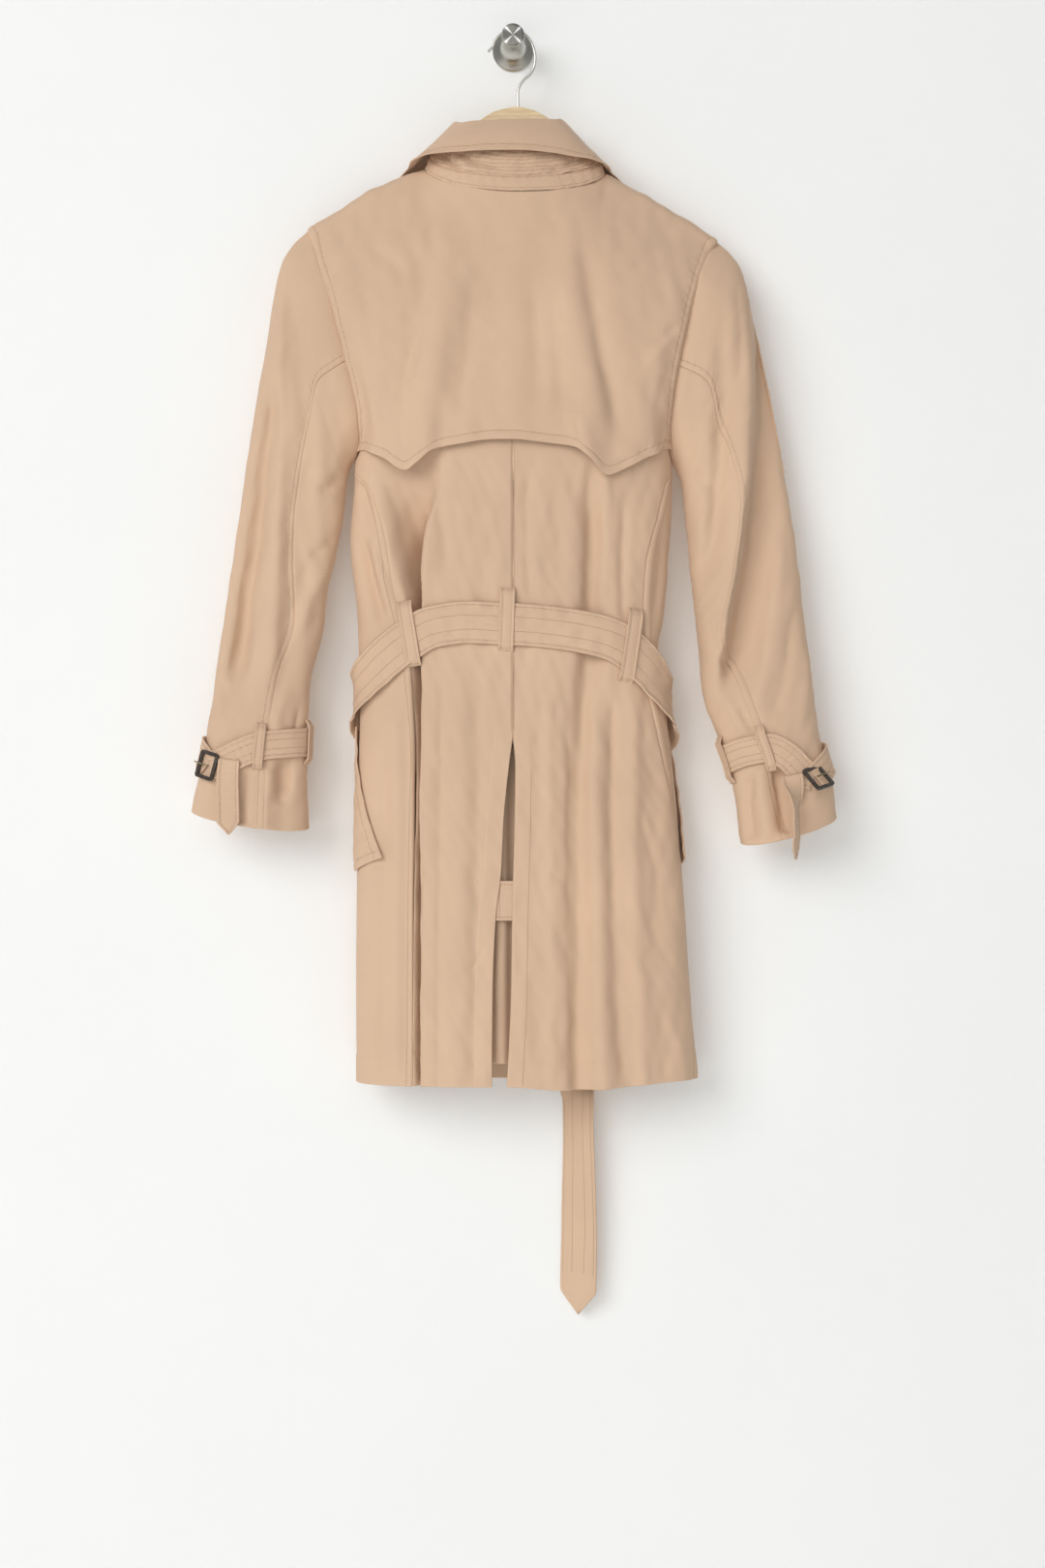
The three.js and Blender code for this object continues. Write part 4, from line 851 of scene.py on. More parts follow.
class Cloth:
    """A piece of cloth on a grid of points, which becomes a closed thin shell."""

    def __init__(self, name: str, grid: Array, out: Array | Sequence[float] = (0, -1, 0),
                 thickness: float = CLOTH) -> None:
        """Lays the piece out.

        Args:
            name: Its name.
            grid: Its middle surface in rows of points.
            out: Rough directions out of it, which pick the side that its stitches lie on.
            thickness: Its thickness.
        """
        self.name, self.grid, self.thickness = name, grid.copy(), thickness
        normals = grid_normals(grid)
        middle = (grid.shape[0] // 2, grid.shape[1] // 2)
        out = np.broadcast_to(out, grid.shape)
        self.sign = -1 if np.dot(normals[middle], out[middle]) < 0 else 1
        self.normals = normals * self.sign
        self.push = np.zeros(grid.shape[:2])
        self.x, self.z = self.grid[..., 0], self.grid[..., 2]
        self.across, self.down = lengths(grid, 1), lengths(grid, 0)
        self.lines: list[Line] = []
        self.outer: Array | None = None

    def from_edge(self, edge: Edge) -> Array:
        """Distance of each point from an edge, over the cloth."""
        ends = {Edge.FIRST: 0, Edge.LAST: self.across[:, -1:], Edge.TOP: 0, Edge.BOTTOM: self.down[-1:]}
        return np.abs(ends[edge] - (self.across if edge in (Edge.FIRST, Edge.LAST) else self.down))

    def raise_by(self, height: Array | float) -> "Cloth":
        """Moves the cloth out by a height at each point."""
        self.push = self.push + height
        return self

    def sink_seam(self, *edges: Edge, depth: float = 1.1, half: float = 1.5) -> "Cloth":
        """Turns the cloth in at seams along edges."""
        for edge in edges:
            self.push = self.push - depth * np.exp(-((self.from_edge(edge) / half) ** 2))
        return self

    def turn_edge(self, edge: Edge, width: float, rise: float = 0.5, pucker: float = 0.28) -> "Cloth":
        """Thickens a strip along an edge, as a turned and stitched edge is, with slight puckers.

        Args:
            edge: The edge.
            width: The strip's width.
            rise: How much higher it is.
            pucker: Height of the puckers.

        Returns:
            The cloth itself.
        """
        far = self.from_edge(edge)
        run = self.down if edge in (Edge.FIRST, Edge.LAST) else self.across
        strip = 1 - ease((far - width) / 2.2)
        wave = np.sin(2 * math.pi * run / 8 + 1.9 * np.sin(run / 23)) + 0.6 * np.sin(2 * math.pi * run / 19)
        groove = GROOVE_DEPTH * np.exp(-(((far - width) / GROOVE_HALF) ** 2))
        self.push = self.push + rise * strip - groove + pucker * wave * np.exp(-(((far - width) / 5) ** 2))
        return self

    def turn_sides(self, width: float, rise: float = 0.5, pucker: float = 0.28) -> "Cloth":
        """Turns both side edges."""
        return self.turn_edge(Edge.FIRST, width, rise, pucker).turn_edge(Edge.LAST, width, rise, pucker)

    def settle(self) -> "Cloth":
        """Applies the heights, after which lines can be read from the cloth's outside."""
        middle = self.grid + self.normals * self.push[..., None]
        normals = grid_normals(middle) * self.sign
        self.middle, self.lay = middle, normals
        self.outer = middle + normals * self.thickness / 2
        return self

    def edge_line(self, edge: Edge, inset: float, start: float = 0.0, end: float = 1.0) -> Line:
        """A line at a distance from an edge.

        Args:
            edge: The edge.
            inset: The distance.
            start: Share of the edge's length at which it starts.
            end: Share at which it ends.

        Returns:
            Its points and normals.
        """
        flip = edge in (Edge.TOP, Edge.BOTTOM)
        far, points, normals = self.from_edge(edge), self.outer, self.lay
        if flip:
            far, points, normals = far.T, points.transpose(1, 0, 2), normals.transpose(1, 0, 2)
        if edge in (Edge.LAST, Edge.BOTTOM):
            far, points, normals = far[:, ::-1], points[:, ::-1], normals[:, ::-1]
        count = len(far)
        rows = range(int(start * (count - 1)), int(end * (count - 1)) + 1)
        read = lambda values: np.array([[np.interp(inset, far[r], values[r, :, k]) for k in range(3)] for r in rows])
        return read(points), read(normals)

    def stitch(self, *lines: Line) -> "Cloth":
        """Adds lines of stitches."""
        self.lines += [line for line in lines if len(line[0]) > 1]
        return self

    def stitch_edges(self, inset: float, *edges: Edge) -> "Cloth":
        """Adds a line of stitches along each of some edges."""
        return self.stitch(*(self.edge_line(edge, inset) for edge in edges))

    def stitch_sides(self, *insets: float) -> "Cloth":
        """Adds lines of stitches along both side edges."""
        for inset in insets:
            self.stitch_edges(inset, Edge.FIRST, Edge.LAST)
        return self

    def stitch_between(self, edge: Edge, inset: float, highest: float, lowest: float = -math.inf) -> "Cloth":
        """Adds the part of a line of stitches along an edge that lies between two heights."""
        points, normals = self.edge_line(edge, inset)
        keep = (points[:, 2] > lowest) & (points[:, 2] < highest)
        return self.stitch((points[keep], normals[keep]))

    def build(self, replaces: str, held: str = "hung", rests_on: Sequence[str] = ("hanger_wood",)) -> None:
        """Args:
            replaces: The node that it stands for.
            held: Not used.
            rests_on: Not used.
        """
        if self.outer is None:
            self.settle()
        rows, columns = self.grid.shape[:2]
        half = self.thickness / 2
        inner = self.middle - self.lay * half
        number = np.arange(rows * columns).reshape(rows, columns)
        at = np.concatenate([number[0, :-1], number[:-1, -1], number[-1, :0:-1], number[:0:-1, 0]])
        row, column = np.divmod(at, columns)
        edge = self.middle[row, column]
        within = self.middle[np.clip(row, 1, rows - 2), np.clip(column, 1, columns - 2)]
        rim = edge + unit(edge - within) * half * 0.8
        a, b, c, d = number[:-1, :-1], number[:-1, 1:], number[1:, 1:], number[1:, :-1]
        outside = np.stack([a, b, c, d], -1).reshape(-1, 4)
        lining = np.stack([a, d, c, b], -1).reshape(-1, 4) + rows * columns
        nxt = np.roll(at, -1)
        mid = 2 * rows * columns + np.arange(len(at))
        mid_next = np.roll(mid, -1)
        upper = np.stack([at, mid, mid_next, nxt], -1)
        lower = np.stack([mid, at + rows * columns, nxt + rows * columns, mid_next], -1)
        faces = np.concatenate([outside, lining, upper, lower])
        if self.sign < 0:
            faces = faces[:, ::-1]
        points = np.concatenate([self.outer.reshape(-1, 3), inner.reshape(-1, 3), rim])
        cut = np.stack([self.across, self.down], -1).reshape(-1, 2) * MM
        uv = np.concatenate([cut, cut, cut[at]])
        made = mesh_object(self.name, points, faces, uv)
        made.data.materials.append(material_of(GABARDINE))
        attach(made, BODY)
        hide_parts(replaces)
        extras = [STITCH.sew(self.name + "_stitches", self.lines)] if self.lines else []
        self.declare()
        LOG.info("%s: %d points, %d stitch lines", self.name, len(points), len(self.lines))

    def declare(self) -> None:
        """Works out the piece's area, width and length when it is cut and laid flat, and keeps none of them."""
        middle = self.middle
        diagonals = np.cross(middle[1:, 1:] - middle[:-1, :-1], middle[1:, :-1] - middle[:-1, 1:])
        area = np.linalg.norm(diagonals, axis=2).sum() / 2 * MM * MM
        width, length = lengths(middle, 1).max() * MM, lengths(middle, 0).max() * MM
        area = min(max(area, 0.31 * width * length), width * length)


def band(name: str, line: Line, widths: Array | float, thickness: float = BAND, count: int = 13) -> Cloth:
    """A flat band of cloth along its middle line, spread to its widths.

    Args:
        name: The node that it stands for.
        line: Points and outward normals of the middle line.
        widths: Its width, or one for each point.
        thickness: Its thickness.
        count: Rough number of columns.

    Returns:
        The band.
    """
    points, normals = line
    widths = np.broadcast_to(widths, len(points))
    across = unit(np.cross(normals, unit(np.gradient(points, axis=0))))
    places = 2 * graded(float(np.max(widths)), float(np.max(widths)) / count, (0.5, 1.3)) - 1
    grid = points[:, None] + across[:, None] * places[None, :, None] * (widths / 2)[:, None, None]
    return Cloth(name + "_cloth", grid, normals[:, None], thickness)


def resample(line: Line, step: float) -> tuple[Line, Array]:
    """A line with points at even distances, and those distances."""
    arc = lengths(line[0])
    at = np.linspace(0, arc[-1], max(4, round(arc[-1] / step) + 1))
    points, normals = (np.stack([smooth(arc, values[:, k], at) for k in range(3)], -1) for values in line)
    return (points, unit(normals)), at


# ---- the body of the coat ----

# Creases of the back below and beside the storm shield.
BACK_CREASES = (
    Crease(-3.6, 6.4, ((-78, -450), (-70, -500), (-62, -560))),
    Crease(2.1, 7.2, ((-92, -470), (-84, -560))),
    Crease(-2.4, 4.8, ((15, -430), (14, -520), (16, -585))),
    Crease(-2.4, 4.8, ((74, -424), (76, -500), (73, -585)), taper=0.15),
    Crease(3.3, 5.6, ((90, -424), (92, -500), (88, -590)), taper=0.15),
    Crease(-3, 5.6, ((110, -440), (108, -560), (112, -620))),
    Crease(-2.4, 6.4, ((52, -630), (58, -760), (56, -900), (62, -1060)), taper=0.1),
    Crease(2.4, 7.2, ((34, -640), (36, -800), (40, -1060)), taper=0.1),
    Crease(2.4, 7.2, ((84, -630), (79, -760), (84, -900), (90, -1060)), taper=0.1),
    Crease(-2.4, 4.8, ((100, -640), (97, -760), (100, -900), (108, -1060)), taper=0.1),
    Crease(2.2, 7.4, ((120, -650), (118, -760), (122, -900), (130, -1060)), taper=0.1),
    Crease(-1.5, 7.4, ((138, -700), (142, -850), (150, -1060)), taper=0.1),
    Crease(-1.4, 4.8, ((120, -760), (140, -830), (150, -900))),
    Crease(-1.7, 3.2, ((34, -835), (45, -842), (54, -850)), Profile.SHARP),
    Crease(1.8, 9.6, ((-50, -620), (-52, -800), (-54, -1060)), taper=0.1),
    Crease(-2, 7.2, ((-34, -640), (-36, -780), (-38, -1060)), taper=0.1),
    Crease(-1.8, 5.6, ((-70, -640), (-72, -800), (-72, -1060)), taper=0.1),
    Crease(1.5, 4.0, ((-60, -700), (-68, -720), (-80, -732))),
    Crease(-1.4, 3.2, ((-24, -905), (-40, -930), (-60, -940))),
)
# Creases on the sides, where the fronts come round.
SIDE_CREASES = {
    Side.LEFT: (
        Crease(-7, 6, ((-151, -500), (-143, -540), (-133, -575), (-126, -600)), taper=0.25),
        Crease(4.5, 5, ((-139, -500), (-131, -540), (-122, -580)), taper=0.25),
        Crease(-5, 5, ((-151, -440), (-146, -470), (-137, -505))),
        Crease(-3.5, 3.5, ((-139, -512), (-130, -522), (-124, -545)), Profile.SHARP),
        Crease(-2, 6, ((-128, -690), (-126, -800), (-128, -1050)), taper=0.1),
        Crease(1.8, 6, ((-116, -650), (-113, -800), (-114, -1050)), taper=0.1),
        Crease(-1.6, 6, ((-104, -650), (-104, -900), (-104, -1050)), taper=0.1),
    ),
    Side.RIGHT: (
        Crease(-2.8, 6, ((152, -480), (146, -540), (141, -600))),
        Crease(2, 6, ((158, -520), (150, -570), (144, -610))),
        Crease(-2, 7, ((158, -740), (168, -860), (176, -1040)), taper=0.1),
    ),
}


BACK_PANELS = ("back_left_panel", "back_right_panel")


@dataclass
class BodyBack:
    """The two back panels, which meet at the centre back seam and open into the vent below it."""

    step: float = 3.0
    fine: Floats = (0.5, 1.2, 2.2, *(3.4 + 1.3 * k for k in range(30)))
    facing: float = 15.0
    half_gap: float = 0.15

    def vent_x(self, side: Side, z: Array) -> Array:
        """The place of the centre back edge of a panel."""
        x = smooth(VENT[0], VENT[1 if side is Side.LEFT else 2], z)
        if side is Side.LEFT:
            return np.minimum(x, -self.half_gap)
        return np.where(z > VENT_TOP, np.maximum(x, self.half_gap), x)

    def cloth(self, side: Side) -> Cloth:
        """Lays out one panel, from its side seam to the centre back."""
        inset = 0.0012 * side.sign
        outer = lambda z: seam_way(side, z) - inset
        middle = lambda z: way_at(self.vent_x(side, z), z)
        cs, vs = graded(165, self.step, self.fine), graded(880, self.step + 0.4)
        return Cloth(f"back_{side.value}_panel", panel(outer, middle, cs, vs, lambda x: top_line(x) - 1.2, hem_line))

    def make(self) -> None:
        """Builds both panels."""
        for side in Side:
            cloth = self.cloth(side)
            below = ease((-415 - cloth.z) / 30)
            cloth.raise_by(creased(BACK_CREASES, cloth.x, cloth.z) * below)
            cloth.raise_by(0.7 * undulation(cloth.x, cloth.z, 46, 11 + side.sign) * below)
            cloth.raise_by(0.42 * undulation(cloth.x, cloth.z, 17, 31 + side.sign, 1.4) * below)
            seam = np.exp(-((cloth.from_edge(Edge.LAST) / 1.0) ** 2))
            cloth.raise_by(-0.6 * seam * ease((cloth.z + 712) / 20))
            cloth.sink_seam(Edge.FIRST, depth=0.7, half=1.1)
            cloth.turn_edge(Edge.BOTTOM, 30, 0.35, 0)
            strip = (1 - ease((cloth.from_edge(Edge.LAST) - self.facing) / 2)) * ease((-690 - cloth.z) / 20)
            cloth.raise_by(0.5 * strip)
            cloth.settle()
            if side is Side.RIGHT:
                cloth.stitch_between(Edge.LAST, self.facing, -735)
            else:
                cloth.stitch_between(Edge.FIRST, 5.5, -600)
            cloth.stitch_between(Edge.LAST, 1.6, -415, VENT_TOP)
            cloth.build(f"back_{side.value}")


SHIELD_EDGE = (
    (-146, -418), (-125, -428), (-104, -441), (-92, -434), (-76, -421), (-50, -416), (-20, -412), (0, -412),
    (30, -415), (60, -419), (76, -432), (91, -446), (111, -438), (130, -427), (151, -416),
)
SHIELD_CREASES = (
    Crease(2.3, 11, ((-62, -175), (-66, -240), (-74, -310), (-95, -400)), taper=0.25),
    Crease(-2.3, 10, ((-86, -200), (-90, -270), (-98, -340), (-118, -410)), taper=0.25),
    Crease(-1.8, 9, ((-38, -230), (-44, -320), (-56, -410)), taper=0.3),
    Crease(2.9, 10, ((52, -190), (58, -250), (66, -320), (88, -425)), taper=0.2),
    Crease(-2.9, 9, ((68, -200), (76, -270), (88, -340), (108, -425)), taper=0.2),
    Crease(-2, 8, ((34, -240), (44, -320), (60, -415)), taper=0.3),
    Crease(-2.6, 5, ((168, -290), (150, -310), (136, -322))),
    Crease(2.1, 6, ((160, -300), (142, -324), (126, -345))),
    Crease(-1.8, 6, ((158, -335), (146, -360), (136, -395))),
    Crease(-2.1, 6, ((-158, -330), (-148, -360), (-140, -400))),
    Crease(1.7, 6, ((-150, -335), (-138, -370), (-130, -410))),
    Crease(-1.3, 7, ((-150, -215), (-120, -235), (-95, -262))),
    Crease(-1.3, 7, ((150, -225), (124, -240), (104, -262))),
    Crease(6.5, 11, ((66, -392), (74, -440)), taper=0),
    Crease(3.9, 9, ((-84, -400), (-88, -440)), taper=0),
    Crease(-2.6, 8, ((20, -250), (24, -330), (26, -400))),
    Crease(2.1, 10, ((0, -230), (4, -320), (2, -400))),
)


@dataclass
class StormShield:
    """The loose second layer over the upper back, with a wavy stitched edge that stands off the back."""

    step: float = 3.0
    hem: float = 8.0
    lift_top: float = 2.1
    lift_neck: float = 1.6
    lift_edge: float = 8.5

    def make(self) -> None:
        """Builds it."""
        end = 0.9965
        first, second = lambda z: 0 * z - end, lambda z: 0 * z + end
        xs, zs = zip(*SHIELD_EDGE)
        cs, vs = graded(400, self.step), graded(270, self.step)
        grid = panel(first, second, cs, vs, lambda x: top_line(x) - 1.0, lambda x: smooth(xs, zs, x), BACK_FOLDS[1:])
        cloth = Cloth("storm_shield_cloth", grid)
        near_sleeve = ease((np.abs(cloth.x / edge_at(cloth.z, cloth.x >= 0, 1)) - 0.86) / 0.12)
        lift = mix(self.lift_top, self.lift_edge, ease((top_line(cloth.x) - cloth.z) / 280) * (1 - near_sleeve))
        calm = 1 - np.exp(-((np.minimum(cloth.from_edge(Edge.FIRST), cloth.from_edge(Edge.LAST)) / 16) ** 2))
        at_neck = neck_oval(cloth.x) * (1 - ease((top_line(cloth.x) - cloth.z) / 60))
        cloth.raise_by(lift + self.lift_neck * at_neck + creased(SHIELD_CREASES, cloth.x, cloth.z) * calm)
        cloth.raise_by(0.6 * undulation(cloth.x, cloth.z, 60, 5) * calm)
        cloth.raise_by(0.36 * undulation(cloth.x, cloth.z, 18, 6, 1.4))
        cloth.turn_edge(Edge.BOTTOM, self.hem, 0.6, 0.4)
        cloth.turn_sides(8.5, 0.5, 0.4)
        cloth.sink_seam(Edge.FIRST, Edge.LAST, depth=1.3, half=1.6)
        cloth.settle().stitch_edges(self.hem, Edge.BOTTOM)
        cloth.stitch(cloth.edge_line(Edge.FIRST, 8.5, 0.01, 0.965), cloth.edge_line(Edge.LAST, 8.5, 0.01, 0.965))
        cloth.build("storm_shield")


@dataclass
class Vent:
    """The underlap in the open vent and the tab across it."""

    underlap: Floats = (-712, -1024, -34, 12)
    depth: float = 8.8
    right_drop: float = 10.0
    left_drop: float = 6.0
    tab_depth: float = 2.2
    tab: Floats = (-864.0, 38.0, -38, 9)

    def make(self) -> None:
        """Builds both."""
        top, bottom, left, right = self.underlap
        middle, width, tab_left, tab_right = self.tab
        c, v = graded(46, 3), graded(312, 3)[:, None]
        x, z = mix(left, right, c), mix(top, bottom, v)
        cloth = Cloth("vent_underlap_cloth", on_body(way_at(x, z), z, 0.0)[0])
        cloth.raise_by(0.4 * undulation(cloth.x, cloth.z, 30, 8) - self.depth - ease((-900 - cloth.z) / 60))
        right, left = ease((cloth.x + 9) / 7), ease((-15 - cloth.x) / 5)
        cloth.raise_by(-self.right_drop * right - self.left_drop * left)
        cloth.turn_edge(Edge.BOTTOM, 12, 0.3, 0.1)
        cloth.settle().build("vent_underlap", rests_on=("back_right_panel",))
        x, z = np.linspace(tab_left, tab_right, 18), np.full(18, middle)
        line = on_body(way_at(x, z), z, -self.tab_depth)
        tab = band("vent_tab", line, width, 1.6)
        tab.turn_sides(3, 0.3, 0.08).settle().stitch_sides(3)
        tab.stitch(tab.edge_line(Edge.TOP, 22), tab.edge_line(Edge.TOP, 25))
        tab.build("vent_tab", rests_on=("back_left_panel",))


ROLL_EDGE = {
    "left": ((-132, -87), (BREAK_Z, OVERLAP), (-1060, OVERLAP)),
    "right": ((-137, 91), (BREAK_Z, -OVERLAP), (-1060, -OVERLAP)),
}


@dataclass
class Fronts:
    """The two fronts with their lapels, the pocket welts and the buttons, on the side to the wall."""

    step: float = 4.2
    lapel_lift: float = 2.58
    button_rows: Floats = (-428.0, -530.0, -632.0, -842.0)
    button_x: float = 56.0
    button_radius: float = 11.0

    def roll_x(self, side: Side, z: Array) -> Array:
        """The line that a lapel rolls on and, below it, the front's free edge."""
        zs, xs = zip(*ROLL_EDGE[side.value])
        return smooth(zs, xs, z)

    def lift(self, side: Side, points: Array) -> Array:
        """How far a front lies out: the left one goes in where the right one laps over it."""
        if side is Side.RIGHT:
            return np.zeros(points.shape[:-1])
        x, y, z = np.moveaxis(points, -1, 0)
        under = -2.4 * LAYER * ease((x + 152) / 46) * ease((-165 - z) / 75)
        return np.where(-y > BODY_MIDDLE, 0, under)

    def front(self, side: Side) -> None:
        """Builds one front."""
        inset = 0.0012 * side.sign
        first = lambda z: seam_way(side, z, True) + inset
        second = lambda z: front_way_at(side, self.roll_x(side, z), z)
        cs, vs = graded(330, self.step), graded(880, self.step)
        grid = panel(first, second, cs, vs, lambda x: top_line(x, False) - 1.2, hem_line)
        cloth = Cloth(f"front_{side.value}_panel", grid, (0, 1, 0))
        shown = ease((-cloth.grid[..., 1] - 42) / 8)
        cloth.raise_by(self.lift(side, cloth.grid) + creased(SIDE_CREASES[side], cloth.x, cloth.z) * shown)
        cloth.raise_by(0.5 * undulation(cloth.x, cloth.z, 44, 21 + side.sign) * ease((-420 - cloth.z) / 40))
        cloth.sink_seam(Edge.FIRST, depth=1.2)
        far = cloth.from_edge(Edge.FIRST)
        cloth.raise_by(0.5 * (1 - ease((far - 6.5) / 1.6)) * ease((-430 - cloth.z) / 20))
        cloth.turn_edge(Edge.BOTTOM, 30, 0.35, 0)
        cloth.settle().stitch_between(Edge.FIRST, 6.5, -436).build(f"front_{side.value}")

    def lapel(self, side: Side) -> None:
        """Builds one lapel."""
        top, tip_x, tip_z, bottom_z, width = -186.0, 150.0, -234.0, BREAK_Z + 4, 7.0
        c, v = graded(120, 5), graded(210, 5)[:, None]
        z = mix(mix(top, tip_z, c), bottom_z, v)
        t = np.clip((tip_z - z) / (tip_z - bottom_z), 0, 1) ** 1.25
        outer = mix(side.sign * tip_x, self.roll_x(side, np.array(bottom_z)) + side.sign * width, t)
        x = mix(self.roll_x(side, z), outer, c)
        grid = body_point(front_way_at(side, x, z), z)
        cloth = Cloth(f"lapel_{side.value}_cloth", grid, (0, 1, 0))
        crossing = 0.9 * ease((cloth.x + 70) / 30) if side is Side.LEFT else 0.0
        cloth.raise_by(self.lift(side, grid) + self.lapel_lift - crossing)
        cloth.turn_edge(Edge.LAST, 6, 0.3).turn_edge(Edge.TOP, 6, 0.3)
        cloth.settle().stitch_edges(6, Edge.LAST, Edge.TOP).build(f"lapel_{side.value}", "folded")

    def welt(self, side: Side) -> None:
        """Builds one pocket welt."""
        top, bottom, slant, span = -692.0, -822.0, -14.0, 0.34
        upper, lower = (1.0, 0.56) if side is Side.LEFT else (1.16, 0.93)
        c, v = graded(48, 2.5), graded(140, 3)[:, None]
        grid = body_point(side.sign * (mix(upper, lower, v) + span * c), mix(top, bottom, v) + slant * c)
        cloth = Cloth(f"pocket_welt_{side.value}_cloth", grid, from_body(grid), 1.8)
        cloth.raise_by(3.2 + 0.4 * undulation(cloth.down, cloth.across, 24, 14, 1))
        cloth.turn_edge(Edge.FIRST, 7.5, 0.4).turn_edge(Edge.BOTTOM, 7.5, 0.4)
        cloth.settle().stitch_edges(7.5, Edge.FIRST, Edge.BOTTOM)
        cloth.build(f"pocket_welt_{side.value}", rests_on=(f"front_{side.value}_panel",))

    def button(self, side: Side, row: int) -> None:
        """Builds one button: a dished disc with a rounded rim."""
        z = np.array(self.button_rows[row])
        place = on_body(front_way_at(side, np.array(side.sign * self.button_x), z), z, 1.1)
        shape = HardShape(f"button_{side.value}_{row + 1}_disc", HornFinish(), "horn")
        shape.disc(self.button_radius, 3.0, rim=1.6, dish=1.0)
        shape.seat(*place, (0, 0, 1))
        shape.finish(f"button_{side.value}_{row + 1}")

    def make(self) -> None:
        """Builds every piece of both fronts."""
        for side in Side:
            self.front(side)
            self.lapel(side)
            self.welt(side)
            for row in range(len(self.button_rows)):
                self.button(side, row)


# ---- hard pieces ----


class HardShape:
    """A hard piece, modelled from a primitive by edit operators and put in its place."""

    def __init__(self, name: str, finish: object, slot: str) -> None:
        """Notes its name, finish and material slot."""
        self.name, self.look, self.slot = name, finish, slot
        self.object: Object | None = None

    def begin(self, add: Callable, scale: Sequence[float] = (1, 1, 1), **settings: object) -> None:
        """Adds a primitive with nothing else selected, applies its size and place, and opens it for editing."""
        bpy.ops.object.select_all(action="DESELECT")
        add(**settings)
        bpy.context.active_object.scale = scale
        bpy.ops.object.transform_apply(location=True, rotation=True, scale=True)
        self.start()

    def start(self) -> None:
        """Takes the new primitive and opens it for editing."""
        self.object = bpy.context.active_object
        self.object.name = self.object.data.name = self.name
        bpy.ops.object.mode_set(mode="EDIT")
        bpy.ops.mesh.select_mode(type="FACE")

    def close(self) -> None:
        """Closes the edit."""
        bpy.ops.object.mode_set(mode="OBJECT")

    def pick_all(self) -> None:
        """Selects the whole mesh."""
        bpy.ops.mesh.select_all(action="SELECT")

    def face_out(self) -> None:
        """Points every face outwards and closes the edit."""
        self.pick_all()
        bpy.ops.mesh.normals_make_consistent(inside=False)
        self.close()

    def pick(self, test: Callable[[Vector, Vector], bool]) -> None:
        """Selects the faces whose centre and normal pass a test, and nothing else."""
        bpy.ops.mesh.select_all(action="DESELECT")
        bpy.ops.object.mode_set(mode="OBJECT")
        for face in self.object.data.polygons:
            face.select = test(face.center, face.normal)
        bpy.ops.object.mode_set(mode="EDIT")

    def disc(self, radius: float, thickness: float, rim: float, dish: float) -> None:
        """A round disc along z with a dished face.

        Args:
            radius: Its radius.
            thickness: Its thickness.
            rim: The rim's width.
            dish: Depth of the face below the rim.
        """
        self.begin(bpy.ops.mesh.primitive_cylinder_add, vertices=28, radius=radius * MM, depth=thickness * MM,
                   location=(0, 0, thickness * MM / 2))
        self.pick(lambda centre, normal: normal.z > 0.9)
        bpy.ops.mesh.inset(thickness=rim * MM)
        bpy.ops.mesh.extrude_region_move(TRANSFORM_OT_translate={"value": (0, 0, -dish * MM)})
        bpy.ops.mesh.inset(thickness=rim * MM)
        self.close()
        self.soften(0.5, 2)

    def frame(self, width: float, height: float, bar: float, thickness: float) -> None:
        """A rectangular frame with rounded corners, flat in the x-y plane.

        Args:
            width: Its outer width.
            height: Its outer height.
            bar: Width of its bars.
            thickness: Its thickness.
        """
        self.begin(bpy.ops.mesh.primitive_plane_add, (width * MM, height * MM, 1), size=1.0)
        self.pick_all()
        bpy.ops.mesh.bevel(offset=bar * 0.9 * MM, segments=4, affect="VERTICES")
        self.pick_all()
        bpy.ops.mesh.inset(thickness=bar * MM)
        bpy.ops.mesh.delete(type="FACE")
        self.pick_all()
        bpy.ops.mesh.extrude_region_move(TRANSFORM_OT_translate={"value": (0, 0, thickness * MM)})
        self.face_out()
        self.object.data.transform(Matrix.Translation((0, 0, -thickness * MM / 2)))
        self.soften(min(bar, thickness) * 0.3, 3)

    def bar(self, length: float, width: float, thickness: float) -> None:
        """A tapered round-edged bar along x, centred.

        Args:
            length: Its length.
            width: Its width at its thick end.
            thickness: Its thickness.
        """
        self.begin(bpy.ops.mesh.primitive_cylinder_add, (thickness * MM, width * MM, length * MM), vertices=12,
                   radius=0.5, depth=1.0, rotation=(0, math.pi / 2, 0))
        self.pick(lambda centre, normal: normal.x > 0.9)
        bpy.ops.transform.resize(value=(1, 0.6, 0.6))
        self.close()
        self.soften(thickness * 0.22, 2)

    def choose(self) -> None:
        """Selects the piece, and nothing else, as an object."""
        bpy.ops.object.select_all(action="DESELECT")
        self.object.select_set(True)
        bpy.context.view_layer.objects.active = self.object

    def soften(self, radius: float, segments: int) -> None:
        """Rounds the sharp edges with a bevel that is applied."""
        self.choose()
        bevel = self.object.modifiers.new("Rounding", "BEVEL")
        bevel.width, bevel.segments = radius * MM, segments
        bevel.limit_method, bevel.angle_limit = "ANGLE", math.radians(35)
        bpy.ops.object.modifier_apply(modifier=bevel.name)

    def seat(self, point: Array, normal: Array, up: Sequence[float]) -> None:
        """Moves the mesh so that its z axis follows a normal and its y axis an up direction.

        Args:
            point: The place of its origin.
            normal: The direction of its z axis.
            up: A direction near which its y axis lies.
        """
        depth = Vector(normal).normalized()
        across = Vector(up).cross(depth).normalized()
        turned = Matrix((across, depth.cross(across), depth)).transposed().to_4x4()
        self.object.data.transform(Matrix.Translation(Vector(point) * MM) @ turned)

